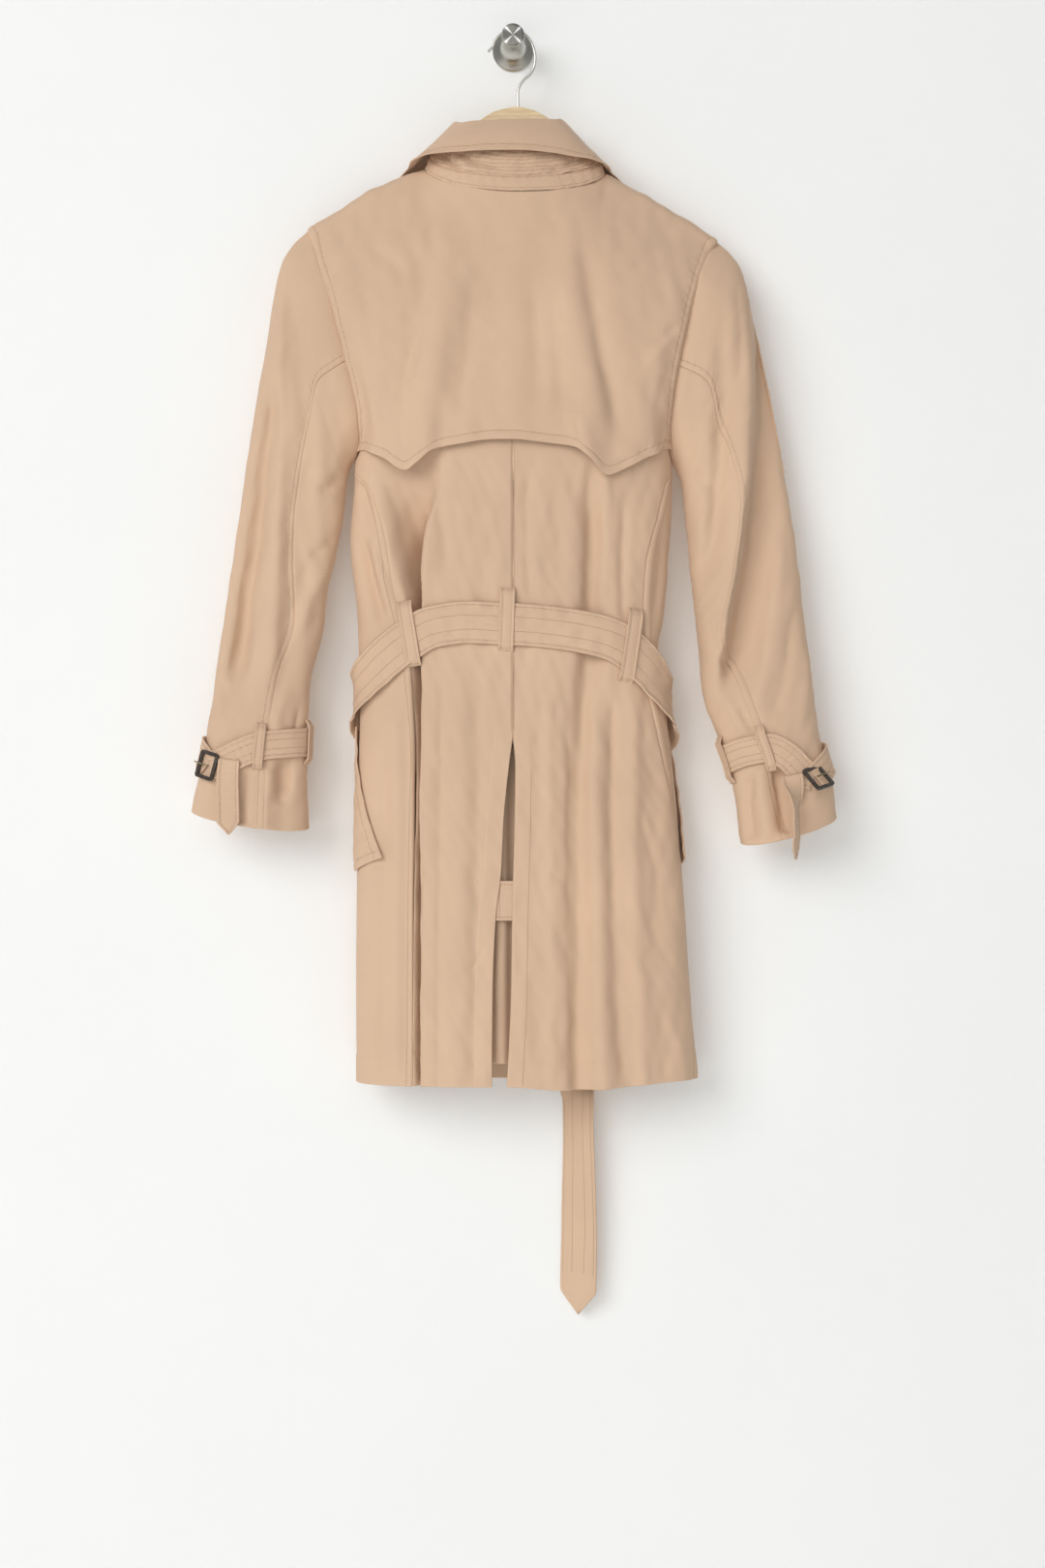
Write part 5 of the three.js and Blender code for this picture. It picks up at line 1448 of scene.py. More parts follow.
    def finish(self, *nodes: str) -> None:
        """Shades and dresses the piece, which stands for nodes."""
        self.choose()
        bpy.ops.object.shade_smooth_by_angle(angle=math.radians(40))
        self.object.data.materials.clear()
        self.object.data.materials.append(material_of(self.look))
        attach(self.object, BODY)
        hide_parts(*nodes)
        LOG.info("%s: %d faces", self.name, len(self.object.data.polygons))


@dataclass(frozen=True)
class Buckle:
    """A rectangular buckle with its prong.

    Attributes:
        frame: Its outer width and height, its bars' width and its thickness.
        prong: The prong's length, width and thickness.
        reach: How far the prong's middle is beside the frame's.
        above: The prong's height over the frame.
    """

    frame: Floats
    prong: Floats
    reach: float
    above: float

    def make(self, names: Sequence[str], place: Line, up: Sequence[float], flipped: bool = False) -> None:
        """Builds both.

        Args:
            names: The nodes that the frame and the prong stand for.
            place: The frame's middle and its normal.
            up: A direction near its upright bars.
            flipped: Whether the prong points to the other side.
        """
        frame = HardShape(names[0] + "_frame", HornFinish(), "horn")
        frame.frame(*self.frame)
        prong = HardShape(names[1] + "_bar", BrassFinish(), "prong_metal")
        prong.bar(*self.prong)
        shift = Matrix.Translation((self.reach * MM, 0, (self.frame[-1] / 2 + self.above) * MM))
        prong.object.data.transform(Matrix.Rotation(math.pi * flipped, 4, "Z") @ shift)
        for shape, node in zip((frame, prong), names):
            shape.seat(*place, up)
            shape.finish(node)


# ---- collar ----

COLLAR = np.array([
    (-1.0, -57, -176, 16.5, -56, -173, 15.0, -58, -170, 12.5, -126, -204, 13),
    (-0.8, -73, -149, 22.5, -71, -143, 21.5, -68, -131, 18, -124, -168, 14),
    (-0.7, -82, -137, 27, -78, -129, 28, -66, -111, 26, -118, -143, 24),
    (-0.62, -87, -130, 38, -83, -120, 40, -64, -96, 38, -106, -133, 40),
    (-0.5, -79, -143, 55.5, -75, -131, 55.5, -57, -88, 49, -99, -130, 62),
    (-0.36, -56, -155, 67, -53, -141, 66, -49, -91, 58, -81, -127, 78),
    (-0.18, -29, -160.5, 73.5, -28, -146, 72, -27, -90.5, 63, -44, -125.5, 84),
    (0, 2, -163, 76, 2, -149, 74, -5, -89.5, 64, -3, -124.5, 86),
    (0.18, 33, -161.5, 73.5, 31, -147, 72, 17, -89, 63, 38, -127, 84),
    (0.36, 61, -157, 67, 57, -142.5, 66, 40, -88, 58, 75, -132, 78),
    (0.5, 83, -147, 55.5, 79, -134.5, 55.5, 47, -85, 49, 94, -135, 62),
    (0.62, 91, -134.5, 38, 87, -124, 40, 56, -92, 38, 100, -137, 40),
    (0.7, 86, -142.5, 27, 82, -134.5, 28, 62, -111, 26, 114, -149, 24),
    (0.8, 77, -154, 22.5, 75, -148, 21.5, 66, -131, 18, 122, -173, 14),
    (1.0, 61, -181, 16.5, 60, -178, 15.0, 60, -174, 12.5, 128, -210, 13),
]).T
COLLAR_LINES = {"neck": 1, "band": 4, "fold": 7, "edge": 10}
COLLAR_CREASES = (
    Crease(-4, 3.2, ((-50, -122), (-40, -132), (-24, -137), (-8, -139)), Profile.SHARP),
    Crease(3, 3.6, ((-56, -126), (-44, -139), (-30, -143))),
    Crease(-3.6, 3.2, ((-68, -122), (-60, -132), (-46, -143)), Profile.SHARP),
    Crease(-2.6, 3.4, ((62, -126), (52, -136), (34, -141))),
    Crease(2.2, 3.6, ((72, -130), (60, -141), (44, -145))),
)


@dataclass
class Collar:
    """The collar: its sewn-on band, its quilted stand and the fall that turns down over both."""

    lift: float = 4.4
    row_gap: float = 3.6
    fall_out: float = 1.2
    fall_up: float = 1.0

    def strip(self, upper: str, lower: str, cs: Array, vs: Array, bow: float) -> Array:
        """A grid between two of the collar's lines, bowed outwards in its middle."""
        s = 2 * cs - 1
        read = lambda line: np.stack([
            smooth(COLLAR[0], COLLAR[COLLAR_LINES[line]], s), -smooth(COLLAR[0], COLLAR[COLLAR_LINES[line] + 2], s),
            smooth(COLLAR[0], COLLAR[COLLAR_LINES[line] + 1], s)], -1)
        v = vs[:, None, None]
        grid = mix(read(upper)[None], read(lower)[None], v)
        return grid + self.outward(grid) * bow * np.sin(math.pi * v) * (1 - ease((np.abs(s) - 0.25) / 0.25))[:, None]

    def outward(self, grid: Array) -> Array:
        """Level directions out of the neck."""
        return unit(np.stack([grid[..., 0] * 0.6, grid[..., 1] + RIDGE_DEPTH, 0 * grid[..., 0]], -1))

    def raised(self, grid: Array) -> Array:
        """How far the band and stand are off the neckline at the back."""
        y, z = grid[..., 1], grid[..., 2]
        return self.lift * ease((-100 - z) / 30) * ease((-y - RIDGE_DEPTH - 2) / 10)

    def make(self) -> None:
        """Builds the three pieces."""
        cs = graded(390, 2.6, (0.6, 1.6, 3.0))
        band = Cloth("collar_band_cloth", self.strip("band", "neck", cs, graded(14, 2, (0.5, 1.3, 2.4)), 0.5))
        band.raise_by(self.raised(band.grid)).sink_seam(Edge.TOP, depth=0.9, half=1.1)
        band.raise_by(0.45 * undulation(band.across, band.down, 7, 41, 0.5))
        band.settle().stitch_edges(2.2, Edge.TOP, Edge.BOTTOM).build("collar_band")
        stand = Cloth("collar_stand_cloth", self.strip("fold", "band", cs, graded(58, 2.2), 2.0))
        ribs = 0.6 * np.sin(2 * math.pi * stand.down / self.row_gap) * ease((stand.down - 8) / 6)
        stand.raise_by(self.raised(stand.grid) + ribs + creased(COLLAR_CREASES, stand.x, stand.z))
        stand.sink_seam(Edge.BOTTOM, depth=0.9, half=1.2)
        stand.raise_by(0.6 * undulation(stand.across, stand.down, 12, 42, 1)).settle()
        height = float(stand.down[-1].max())
        for k in range(1, int(height / self.row_gap) - 1):
            stand.stitch(stand.edge_line(Edge.BOTTOM, 1.8 + k * self.row_gap, 0.15, 0.85))
        stand.stitch(stand.edge_line(Edge.BOTTOM, 1.8)).build("collar_stand")
        vs = graded(62, 2.4)
        grid = self.strip("fold", "edge", cs, vs, 4.0)
        away = (1 - vs)[:, None, None]
        grid = grid + self.outward(grid) * self.fall_out * away + np.array((0, 0, self.fall_up)) * away
        fall = Cloth("collar_fall_cloth", grid)
        fall.raise_by(0.35 * undulation(fall.across, fall.down, 40, 43, 1))
        fall.turn_edge(Edge.BOTTOM, 6.5, 0.7, 0.35).turn_sides(7.5, 0.5)
        roll = np.exp(-((fall.from_edge(Edge.BOTTOM) / 2.5) ** 2))
        fall.raise_by(0.5 * roll).settle()
        fall.stitch_edges(6.5, Edge.BOTTOM, Edge.FIRST, Edge.LAST).build("collar_fall", "folded")


# ---- sleeves ----

# Places down the sleeve, x and z of its outer and inner ends, and the back seam's share of the way across.
SLEEVE = {
    "left": np.array([
        (0, -204, -193, -157, -428, 0.58), (0.06, -220, -208, -162, -433, 0.58),
        (0.12, -231, -226, -165, -442, 0.57), (0.18, -238, -255, -167, -453, 0.57),
        (0.25, -245, -300, -169, -466, 0.56), (0.33, -254, -352, -172, -487, 0.55),
        (0.42, -264, -413, -177, -515, 0.56), (0.52, -275, -498, -186, -553, 0.64),
        (0.62, -287, -578, -192, -600, 0.74), (0.72, -298, -652, -203, -645, 0.67),
        (0.8, -305, -697, -206, -690, 0.64), (0.88, -312, -735, -207, -727, 0.64),
        (1, -320, -776, -205, -793, 0.64),
    ]).T,
    "right": np.array([
        (0, 203, -204, 158, -428, 0.58), (0.06, 219, -219, 163, -433, 0.57), (0.12, 230, -237, 167, -441, 0.56),
        (0.18, 236, -264, 170, -452, 0.56), (0.25, 245, -303, 172, -468, 0.55), (0.33, 255, -350, 174, -490, 0.5),
        (0.42, 267, -411, 177, -520, 0.47), (0.52, 280, -493, 181, -562, 0.62), (0.62, 290, -572, 186, -608, 0.8),
        (0.72, 299, -650, 192, -665, 0.66), (0.8, 306, -697, 205, -700, 0.63), (0.88, 316, -733, 218, -738, 0.65),
        (1, 323, -782, 229, -808, 0.6),
    ]).T,
}
# At the same places, depths of both ends and the bulge to the room and to the wall.
SLEEVE_DEPTHS = np.array([
    (38, 46, 28, 22), (40, 46, 32, 23), (42, 46, 33, 24), (44, 46, 33, 25), (45, 46, 32, 25), (46, 46, 31, 25),
    (46, 46, 30, 25), (47, 47, 29, 25), (48, 48, 28, 25), (50, 49, 27, 25), (52, 50, 26, 25), (53, 51, 26, 26),
    (54, 52, 29, 28),
]).T
SLEEVE_BLEND = 0.16
FRONT_SEAM = -2.1
CUFF_SAG = 7.0
PER_V = 470.0
SLEEVE_CREASES = {
    Side.LEFT: (
        Crease(-3, 9, ((-252, -380), (-262, -500), (-274, -600), (-286, -690)), taper=0.2),
        Crease(2.7, 8, ((-268, -420), (-280, -540), (-292, -660)), taper=0.2),
        Crease(-2.2, 8, ((-214, -260), (-210, -340), (-204, -420))),
        Crease(1.9, 8, ((-196, -330), (-192, -400), (-190, -470))),
        Crease(-3.2, 6, ((-168, -440), (-182, -455), (-198, -458))),
        Crease(-2.4, 6, ((-176, -500), (-192, -520), (-206, -522))),
        Crease(2.7, 7, ((-178, -520), (-196, -550), (-214, -600))),
        Crease(-2.4, 8, ((-214, -560), (-226, -620), (-236, -690))),
        Crease(-3.5, 5, ((-212, -670), (-216, -695), (-222, -716)), Profile.SHARP),
        Crease(2.7, 6, ((-226, -650), (-234, -690), (-236, -712))),
        Crease(-3.8, 5, ((-263, -735), (-266, -760), (-268, -790)), taper=0.1),
        Crease(3, 6, ((-240, -735), (-244, -765), (-247, -795)), taper=0.1),
        Crease(-4.3, 6, ((-226, -726), (-228, -745), (-230, -770)), taper=0.1),
        Crease(-2.4, 5, ((-290, -640), (-286, -665), (-284, -690))),
    ),
    Side.RIGHT: (
        Crease(-2.7, 7, ((222, -240), (226, -300), (224, -380))),
        Crease(-3, 6, ((244, -250), (247, -330), (241, -440), (232, -520)), taper=0.15),
        Crease(-2.4, 7, ((208, -360), (206, -430), (198, -500), (190, -560))),
        Crease(2.2, 7, ((196, -420), (190, -480), (186, -540))),
        Crease(-3.2, 6, ((176, -436), (192, -452), (208, -456))),
        Crease(3.2, 7, ((268, -480), (262, -560), (250, -640), (240, -690)), taper=0.2),
        Crease(-3.2, 7, ((283, -560), (272, -630), (258, -690)), taper=0.2),
        Crease(-3, 6, ((196, -600), (206, -625), (220, -640))),
        Crease(-3.2, 5, ((222, -668), (232, -690), (244, -706)), Profile.SHARP),
        Crease(2.7, 6, ((210, -660), (222, -684), (236, -704))),
        Crease(-4.1, 6, ((262, -728), (266, -760), (270, -800)), taper=0.1),
        Crease(3.2, 6, ((244, -730), (248, -765), (254, -806)), taper=0.1),
        Crease(-3.5, 5, ((236, -742), (234, -770), (238, -806)), taper=0.1),
        Crease(2.7, 6, ((296, -600), (290, -660), (284, -700))),
    ),
}


class SleeveForm:
    """The surface of one sleeve: angle 0 is its outer end, a quarter turn the room side and a half its inner end."""

    def __init__(self, side: Side) -> None:
        """Takes the side's tables."""
        self.side, self.rows = side, np.insert(SLEEVE[side.value], 5, SLEEVE_DEPTHS, axis=0)
        self.armhole_edge = EDGES[side.value]

    def at(self, column: int, v: Array) -> Array:
        """A column of the sections' table at places down the sleeve."""
        return smooth(self.rows[0], self.rows[column], v)

    def section(self, angle: Array, v: Array) -> Array:
        """Points of the sections with no folds."""
        share = (1 - np.cos(angle)) / 2
        bulge = np.where(np.sin(angle) > 0, self.at(7, v), self.at(8, v))
        depth = mix(self.at(5, v), self.at(6, v), share) + bulge * np.sin(angle)
        sag = CUFF_SAG * np.abs(np.sin(angle)) * ease((v - 0.85) / 0.15)
        x, z = mix(self.at(1, v), self.at(3, v), share), mix(self.at(2, v), self.at(4, v), share)
        return np.stack([x, -depth, z - sag], -1)

    def armhole(self, angle: Array) -> Array:
        """Points of the armhole's outline."""
        z = mix(self.armhole_edge[0][0], UNDERARM, (1 - np.cos(angle)) / 2)
        low = 2.9 if self.side is Side.LEFT else 1.0
        shift = mix(1.0, low, ease((-340 - z) / 60)) - 0.6
        right = self.side is Side.RIGHT
        x = edge_at(z, right, 1) + self.side.sign * shift
        depth = np.where(np.sin(angle) > 0, edge_at(z, right, 2), edge_at(z, right, 3))
        return np.stack([x, -depth, z], -1)

    def point(self, angle: Array, v: Array, folds: Optional[Sequence[Fold]] = None) -> Array:
        """Points of the sleeve."""
        angle, v = np.broadcast_arrays(np.asarray(angle, float), np.asarray(v, float))
        joined = ease(v / SLEEVE_BLEND)
        off = self.armhole(angle) - self.section(angle, np.zeros(np.shape(v)))
        point = self.section(angle, v) + off * (1 - joined)[..., None]
        folds = SLEEVE_FOLDS[self.side.value] if folds is None else folds
        room = np.sqrt(np.clip(np.sin(angle), 0, None))
        pressed = fold_depth(folds, point[..., 0], point[..., 2]) * room * joined
        return point + np.stack([0 * pressed, pressed, 0 * pressed], -1)

    def middle(self, v: Array) -> Array:
        """Points of the line down the middle of the sleeve."""
        zero = np.zeros(np.shape(v))
        return (self.section(zero, v) + self.section(zero + math.pi, v)) / 2

    def lifted(self, angle: Array, v: Array, lift: Array | float) -> Line:
        """Points moved out from the sleeve, and the normals there."""
        angle, v = np.broadcast_arrays(np.asarray(angle, float), np.asarray(v, float))
        point = self.point(angle, v, ())
        around = self.point(angle + 0.03, v, ()) - self.point(angle - 0.03, v, ())
        down = self.point(angle, v + 0.005, ()) - self.point(angle, v - 0.005, ())
        normal = unit(np.cross(around, down))
        wrong = np.sum(normal * (point - self.middle(v)), -1, keepdims=True) < 0
        normal = np.where(wrong, -normal, normal)
        return point + normal * np.asarray(lift)[..., None], normal


@dataclass
class Sleeve:
    """One sleeve of two pieces, which meet at a stitched back seam and a front seam."""

    side: Side
    step: float = 3.2
    seam: float = 6.0

    def make(self) -> SleeveForm:
        """Builds both pieces and returns their form."""
        form = SleeveForm(self.side)
        vs = graded(600, self.step)[:, None]
        seam_angle = np.arccos(1 - 2 * form.at(9, vs))
        for part, end, width in (("top", FRONT_SEAM, 200), ("under", 2 * math.pi + FRONT_SEAM, 130)):
            cs = graded(width, self.step)
            gap = 0.25 / 60
            angle = mix(seam_angle + math.copysign(gap, end - 2), end - math.copysign(gap, end - 2), cs)
            grid = form.point(angle, vs + 0 * cs)
            out = grid - form.middle(vs + 0 * cs)
            cloth = Cloth(f"sleeve_{self.side.value}_{part}_cloth", grid, out)
            room = np.clip(np.sin(angle) * 2.5, 0, 1)
            cloth.raise_by(creased(SLEEVE_CREASES[self.side], cloth.x, cloth.z) * room)
            settled = ease((vs - 0.04) / 0.1)
            wide = 0.55 * undulation(cloth.x, cloth.z, 40, 50 + self.side.sign)
            cloth.raise_by(wide * settled * (0.4 + 0.6 * room))
            cloth.raise_by(0.38 * undulation(cloth.x, cloth.z, 16, 60 + self.side.sign, 1.5) * settled)
            strap_v = 0.84 if self.side is Side.LEFT else 0.845
            pull = np.exp(-(((vs - strap_v) * PER_V / 13) ** 2))
            cloth.raise_by(-1.0 * pull * (0.7 + 0.5 * np.sin(angle * 9)))
            cloth.sink_seam(Edge.FIRST, Edge.LAST, depth=0.5, half=1.1)
            cloth.raise_by(-0.8 * np.exp(-((cloth.from_edge(Edge.TOP) / 1.5) ** 2)))
            if part == "top":
                cloth.turn_edge(Edge.FIRST, self.seam, 0.15, 0.3)
            cloth.settle()
            if part == "top":
                cloth.stitch(cloth.edge_line(Edge.FIRST, self.seam))
            cloth.build(f"sleeve_{self.side.value}_{part}")
        return form


STRAP = {
    Side.LEFT: np.array([
        (0.62, 0.872, 3), (0.35, 0.852, 3), (0, 0.838, 3.6), (-1.1, 0.838, 3.2), (-3.3, 0.838, 3), (-4.3, 0.838, 3),
        (-4.6, 0.84, 3.2), (-4.95, 0.853, 4.4), (-5.3, 0.868, 4), (-5.58, 0.874, 3),
    ]).T,
    Side.RIGHT: np.array([
        (0.88, 0.898, 3), (0.5, 0.876, 3), (0, 0.858, 3), (-1.1, 0.852, 4), (-3.3, 0.852, 4), (-4.1, 0.838, 3.2),
        (-4.6, 0.832, 3), (-4.85, 0.85, 4.2), (-5.1, 0.884, 3), (-5.34, 0.898, 2.6),
    ]).T,
}
LOOP_ANGLES = {Side.LEFT: (-3.34, -4.58), Side.RIGHT: (-3.4, -4.5)}
BUCKLE_SEAT = {Side.LEFT: (0.68, 0.873), Side.RIGHT: (0.93, 0.899)}


def loop_line(seat_at: Callable, length: float, lift: float, seat: float) -> Line:
    """The middle line of a loop that starts and ends on the cloth and passes over a band between.

    Args:
        seat_at: Gives the points and normals at distances along the loop and lifts off the cloth.
        length: The loop's length.
        lift: Its lift over the band.
        seat: Its lift at its ends.

    Returns:
        Points and normals.
    """
    half, rise = length / 2, 6.5
    along = np.linspace(-half, half, 26)
    lifts = mix(seat, lift, ease((half - np.abs(along)) / rise))
    return seat_at(along, lifts)


@dataclass
class Cuff:
    """The strap round one cuff with its loops, its buckle and prong, and its free end."""

    side: Side
    form: SleeveForm
    width: float = 27.0
    buckle: Buckle = Buckle((23.0, 28.0, 3.6, 2.6), (18.0, 2.0, 1.6), 6.5, 1.2)

    def strap(self) -> None:
        """Builds the strap, with its turned edges and the tucks beside the buckle."""
        rows = STRAP[self.side]
        angle = np.linspace(rows[0][0], rows[0][-1], 60)
        line = self.form.lifted(angle, smooth(rows[0], rows[1], angle), smooth(rows[0], rows[2], angle))
        line, along = resample(line, 2.6)
        cloth = band(f"cuff_strap_{self.side.value}", line, self.width)
        length = along[-1]
        tucks = np.exp(-(((along - (length - 34)) / 12) ** 2))
        cloth.raise_by((0.75 * np.sin(2 * math.pi * along / 7) * tucks)[:, None])
        cloth.turn_sides(3, 0.3)
        cloth.settle().stitch_sides(3.2, 9)
        cloth.build(f"cuff_strap_{self.side.value}", rests_on=(f"sleeve_{self.side.value}_top_cloth",))

    def loops(self) -> None:
        """Builds the two loops."""
        rows = STRAP[self.side]
        for number, angle in enumerate(LOOP_ANGLES[self.side], 1):
            middle = float(smooth(rows[0], rows[1], angle))
            seat_at = lambda along, lifts: self.form.lifted(angle + 0 * along, middle + along / PER_V, lifts)
            line = loop_line(seat_at, 44.0, 6.2, 1.9)
            name = f"cuff_loop_{self.side.value}_{number}"
            cloth = band(name, line, 9.0, 1.6, 5)
            cloth.turn_sides(2, 0.25, 0.05)
            cloth.settle().stitch_sides(1.6)
            cloth.build(name, rests_on=(f"sleeve_{self.side.value}_top_cloth",))

    def fastening(self) -> None:
        """Builds the buckle and its prong."""
        angle, v = BUCKLE_SEAT[self.side]
        tilt, lift = (0.0, 6.0) if self.side is Side.LEFT else (0.8, 10.5)
        point, normal = self.form.lifted(np.array(angle), np.array(v), lift)
        normal = unit(normal + np.array((0, 0, tilt)))
        names = [f"cuff_{part}_{self.side.value}" for part in ("buckle", "prong")]
        self.buckle.make(names, (point, normal), (self.side.sign * -0.3, 0, 0.95), self.side is Side.LEFT)

    def tail(self) -> None:
        """Builds the strap's free end, which hangs from the buckle to its point."""
        away, length, width, tip, lowest = 0.5, 74.0, 21.0, 11.0, 0.995
        most = 0.15 if self.side is Side.LEFT else 1.2
        angle, v0 = BUCKLE_SEAT[self.side]
        along = np.linspace(0, length, 40)
        v = v0 + (along - 4) / PER_V
        turn = most * ease(along / 30)
        points, normals = self.form.lifted(angle + away + 0.1 * ease(along / length), np.minimum(v, lowest),
                                           6.6 + 8 * np.sin(turn))
        x, y, z = normals.T
        normals = np.stack([x * np.cos(turn) - y * np.sin(turn), x * np.sin(turn) + y * np.cos(turn), z], -1)
        points[:, 2] -= np.clip((v - lowest) * PER_V, 0, None)
        widths = np.where(along > length - tip, mix(width, 1.5, (along - length + tip) / tip), width)
        cloth = band(f"cuff_tail_{self.side.value}", (points, normals), widths, 1.8, 9)
        cloth.turn_sides(2.6, 0.3)
        cloth.settle().stitch_sides(2.6)
        cloth.build(f"cuff_tail_{self.side.value}", rests_on=(f"cuff_strap_{self.side.value}_cloth",))

    def make(self) -> None:
        """Builds every piece."""
        self.strap()
        self.loops()
        self.fastening()
        self.tail()


# ---- belt ----

BELT = np.array([
    (-2.1, -722), (-2, -720), (-1.6, -708), (-1.3, -690), (-1.15, -677), (-1, -665), (-0.88, -656), (-0.7, -640),
    (-0.57, -626), (-0.4, -607), (-0.266, -594), (-0.12, -590), (0, -592), (0.11, -595), (0.26, -600),
    (0.41, -607), (0.55, -619), (0.7, -638), (0.85, -661), (1, -677), (1.15, -690), (1.3, -700), (1.6, -714),
    (2, -723),
]).T
BELT_TAIL = np.array([
    (-750.5, 63, 9, 0), (-800, 65, 9, 0.1), (-900, 66, 9, 0.2), (-1000, 66, 10, 0.3), (-1050, 66, 10.5, 0.34),
    (-1070, 66, 18, 0.75), (-1090, 66, 19, 0.76), (-1121, 66.5, 18, 0.72), (-1200, 67, 15, 0.52),
    (-1266, 66, 14, 0.5), (-1288, 66, 14, 0.5),
]).T
BELT_LOOPS = (
    ("left", -107, -569, -97, -633, 1.9),
    ("centre", -5, -556, -7, -618, 1.7),
    ("right", 121, -576, 111, -648, 2.6),
)


BELT_CREASES = (
    Crease(-1.3, 1.8, ((-72, -604), (-62, -601), (-52, -606), (-44, -603)), Profile.SHARP),
    Crease(1.1, 2.2, ((-88, -613), (-74, -611), (-60, -613), (-50, -610))),
    Crease(-1.2, 1.8, ((-80, -622), (-68, -617), (-58, -619)), Profile.SHARP),
    Crease(-1, 1.6, ((-66, -596), (-50, -594), (-36, -597))),
    Crease(-1.1, 1.8, ((86, -632), (98, -638), (106, -648)), Profile.SHARP),
    Crease(0.9, 2.2, ((60, -618), (80, -624), (96, -632))),
)


@dataclass
class Belt:
    """The belt through its loops, the buckle on the hidden front and the end that hangs below the hem."""

    width: float = 40.0
    back_lift: float = 3.4
    front_lift: float = 5.8
    buckle: Buckle = Buckle((44.0, 56.0, 6.0, 3.0), (27.0, 3.0, 2.0), 10.5, 1.4)

    def lift(self, way: Array) -> Array:
        """How far the belt lies off the coat."""
        return mix(self.back_lift, self.front_lift, ease((np.abs(way) - 0.5) / 0.4))

    def stretch(self, name: str, start: float, end: float) -> None:
        """Builds one length of the belt between two ways round."""
        way = np.linspace(start, end, 90)
        line, along = resample(on_body(way, smooth(*BELT, way), self.lift(way)), 2.8)
        cloth = band(name, line, self.width, count=16)
        shown = np.exp(-((cloth.x + 40) / 55) ** 2)
        rows = 0.5 * np.sin(2 * math.pi * (cloth.across / 9 + 0.5 * np.sin(along / 17)[:, None])) * shown
        if name == "belt_back":
            cloth.raise_by(rows * ease((24 - np.abs(cloth.across - 24)) / 14))
        cloth.raise_by(0.5 * undulation(along[:, None] + 0 * cloth.across, cloth.across, 24, 71, 0.5))
        cloth.raise_by(creased(BELT_CREASES, cloth.x, cloth.z) if name == "belt_back" else 0)
        cloth.turn_sides(3.4, 0.4, 0.3).settle().stitch_sides(2.6, 13.0)
        cloth.build(name, rests_on=BACK_PANELS)

    def loops(self) -> None:
        """Builds the three loops."""
        for name, top_x, top_z, bottom_x, bottom_z, over in BELT_LOOPS:
            length = math.hypot(top_x - bottom_x, top_z - bottom_z)

            def seat_at(along: Array, lifts: Array) -> Line:
                """Points over the coat at distances along the loop."""
                t = along / length + 0.5
                z = mix(top_z, bottom_z, t)
                return on_body(way_at(mix(top_x, bottom_x, t), z), z, lifts)

            way = way_at(np.array((top_x + bottom_x) / 2), np.array((top_z + bottom_z) / 2))
            line = loop_line(seat_at, length, float(self.lift(way)) + over, 1.2)
            cloth = band(f"belt_loop_{name}", line, 14.5, 1.2, 8)
            cloth.turn_sides(3, 0.35, 0.05)
            cloth.settle().stitch_sides(2.8).stitch_edges(3, Edge.TOP, Edge.BOTTOM)
            cloth.build(f"belt_loop_{name}", rests_on=BACK_PANELS)

    def fastening(self) -> None:
        """Builds the buckle and its prong."""
        x, z = np.array(58.0), np.array(-722.0)
        place = on_body(front_way_at(Side.RIGHT, x, z), z, 8.9)
        self.buckle.make(("belt_buckle", "belt_prong"), place, (0, 0, 1))

    def tail(self) -> None:
        """Builds the belt's free end."""
        z = np.linspace(BELT_TAIL[0][0], BELT_TAIL[0][-1], 180)
        x, depth, turn = (smooth(BELT_TAIL[0], BELT_TAIL[k], z) for k in (1, 2, 3))
        normals = np.stack([np.sin(turn), np.cos(turn), 0 * turn], -1)
        tip = np.clip((z - z[-1]) / 22, 0, 1)
        widths = mix(1.5, self.width, tip)
        cloth = band("belt_tail", (np.stack([x, -depth, z], -1), normals), widths, count=14)
        cloth.raise_by(0.5 * undulation(cloth.across, cloth.z, 40, 77, 2.5))
        cloth.turn_sides(4, 0.35, 0.12)
        cloth.sign, cloth.normals, cloth.push = -cloth.sign, -cloth.normals, -cloth.push
        cloth.settle()
        for inset in (2.6, 13.0):
            cloth.stitch(cloth.edge_line(Edge.FIRST, inset, 0, 0.93), cloth.edge_line(Edge.LAST, inset, 0, 0.93))
        cloth.build("belt_tail", rests_on=("belt_buckle_frame",))

    def make(self) -> None:
        """Builds every piece."""
        self.stretch("belt_back", -0.985, 0.985)
        self.stretch("belt_front_left", -0.996, -2.05)
        self.stretch("belt_front_right", 1.76, 1.006)
        self.loops()
        self.fastening()
        self.tail()


# ---- hanger, hook and knob ----

CREST = np.array([
    (-105, -147), (-88, -144), (-75, -124.5), (-60, -108), (-45, -93), (-33, -82.5), (-18, -73.5), (4, -69),
    (18, -71.5), (31, -77.5), (45, -88), (60, -103.5), (75, -121), (89, -149.5), (105, -154),
]).T
HOOK = ((5, -69.3), (5, -58), (5.5, -50), (10, -42), (18, -34), (22, -24), (21, -10), (14, 3), (6, 8), (-2, 9),
        (-10, 6.5), (-17, 0), (-21, -8), (-25, -12.5))
KNOB = ((21, 0), (21, 1.6), (19.4, 2.8), (14, 5.5), (10.2, 10), (8, 17), (7, 26), (7, 40), (8, 44.5), (10.4, 48),
        (11.6, 50.6), (11.3, 52.5), (10.6, 53))


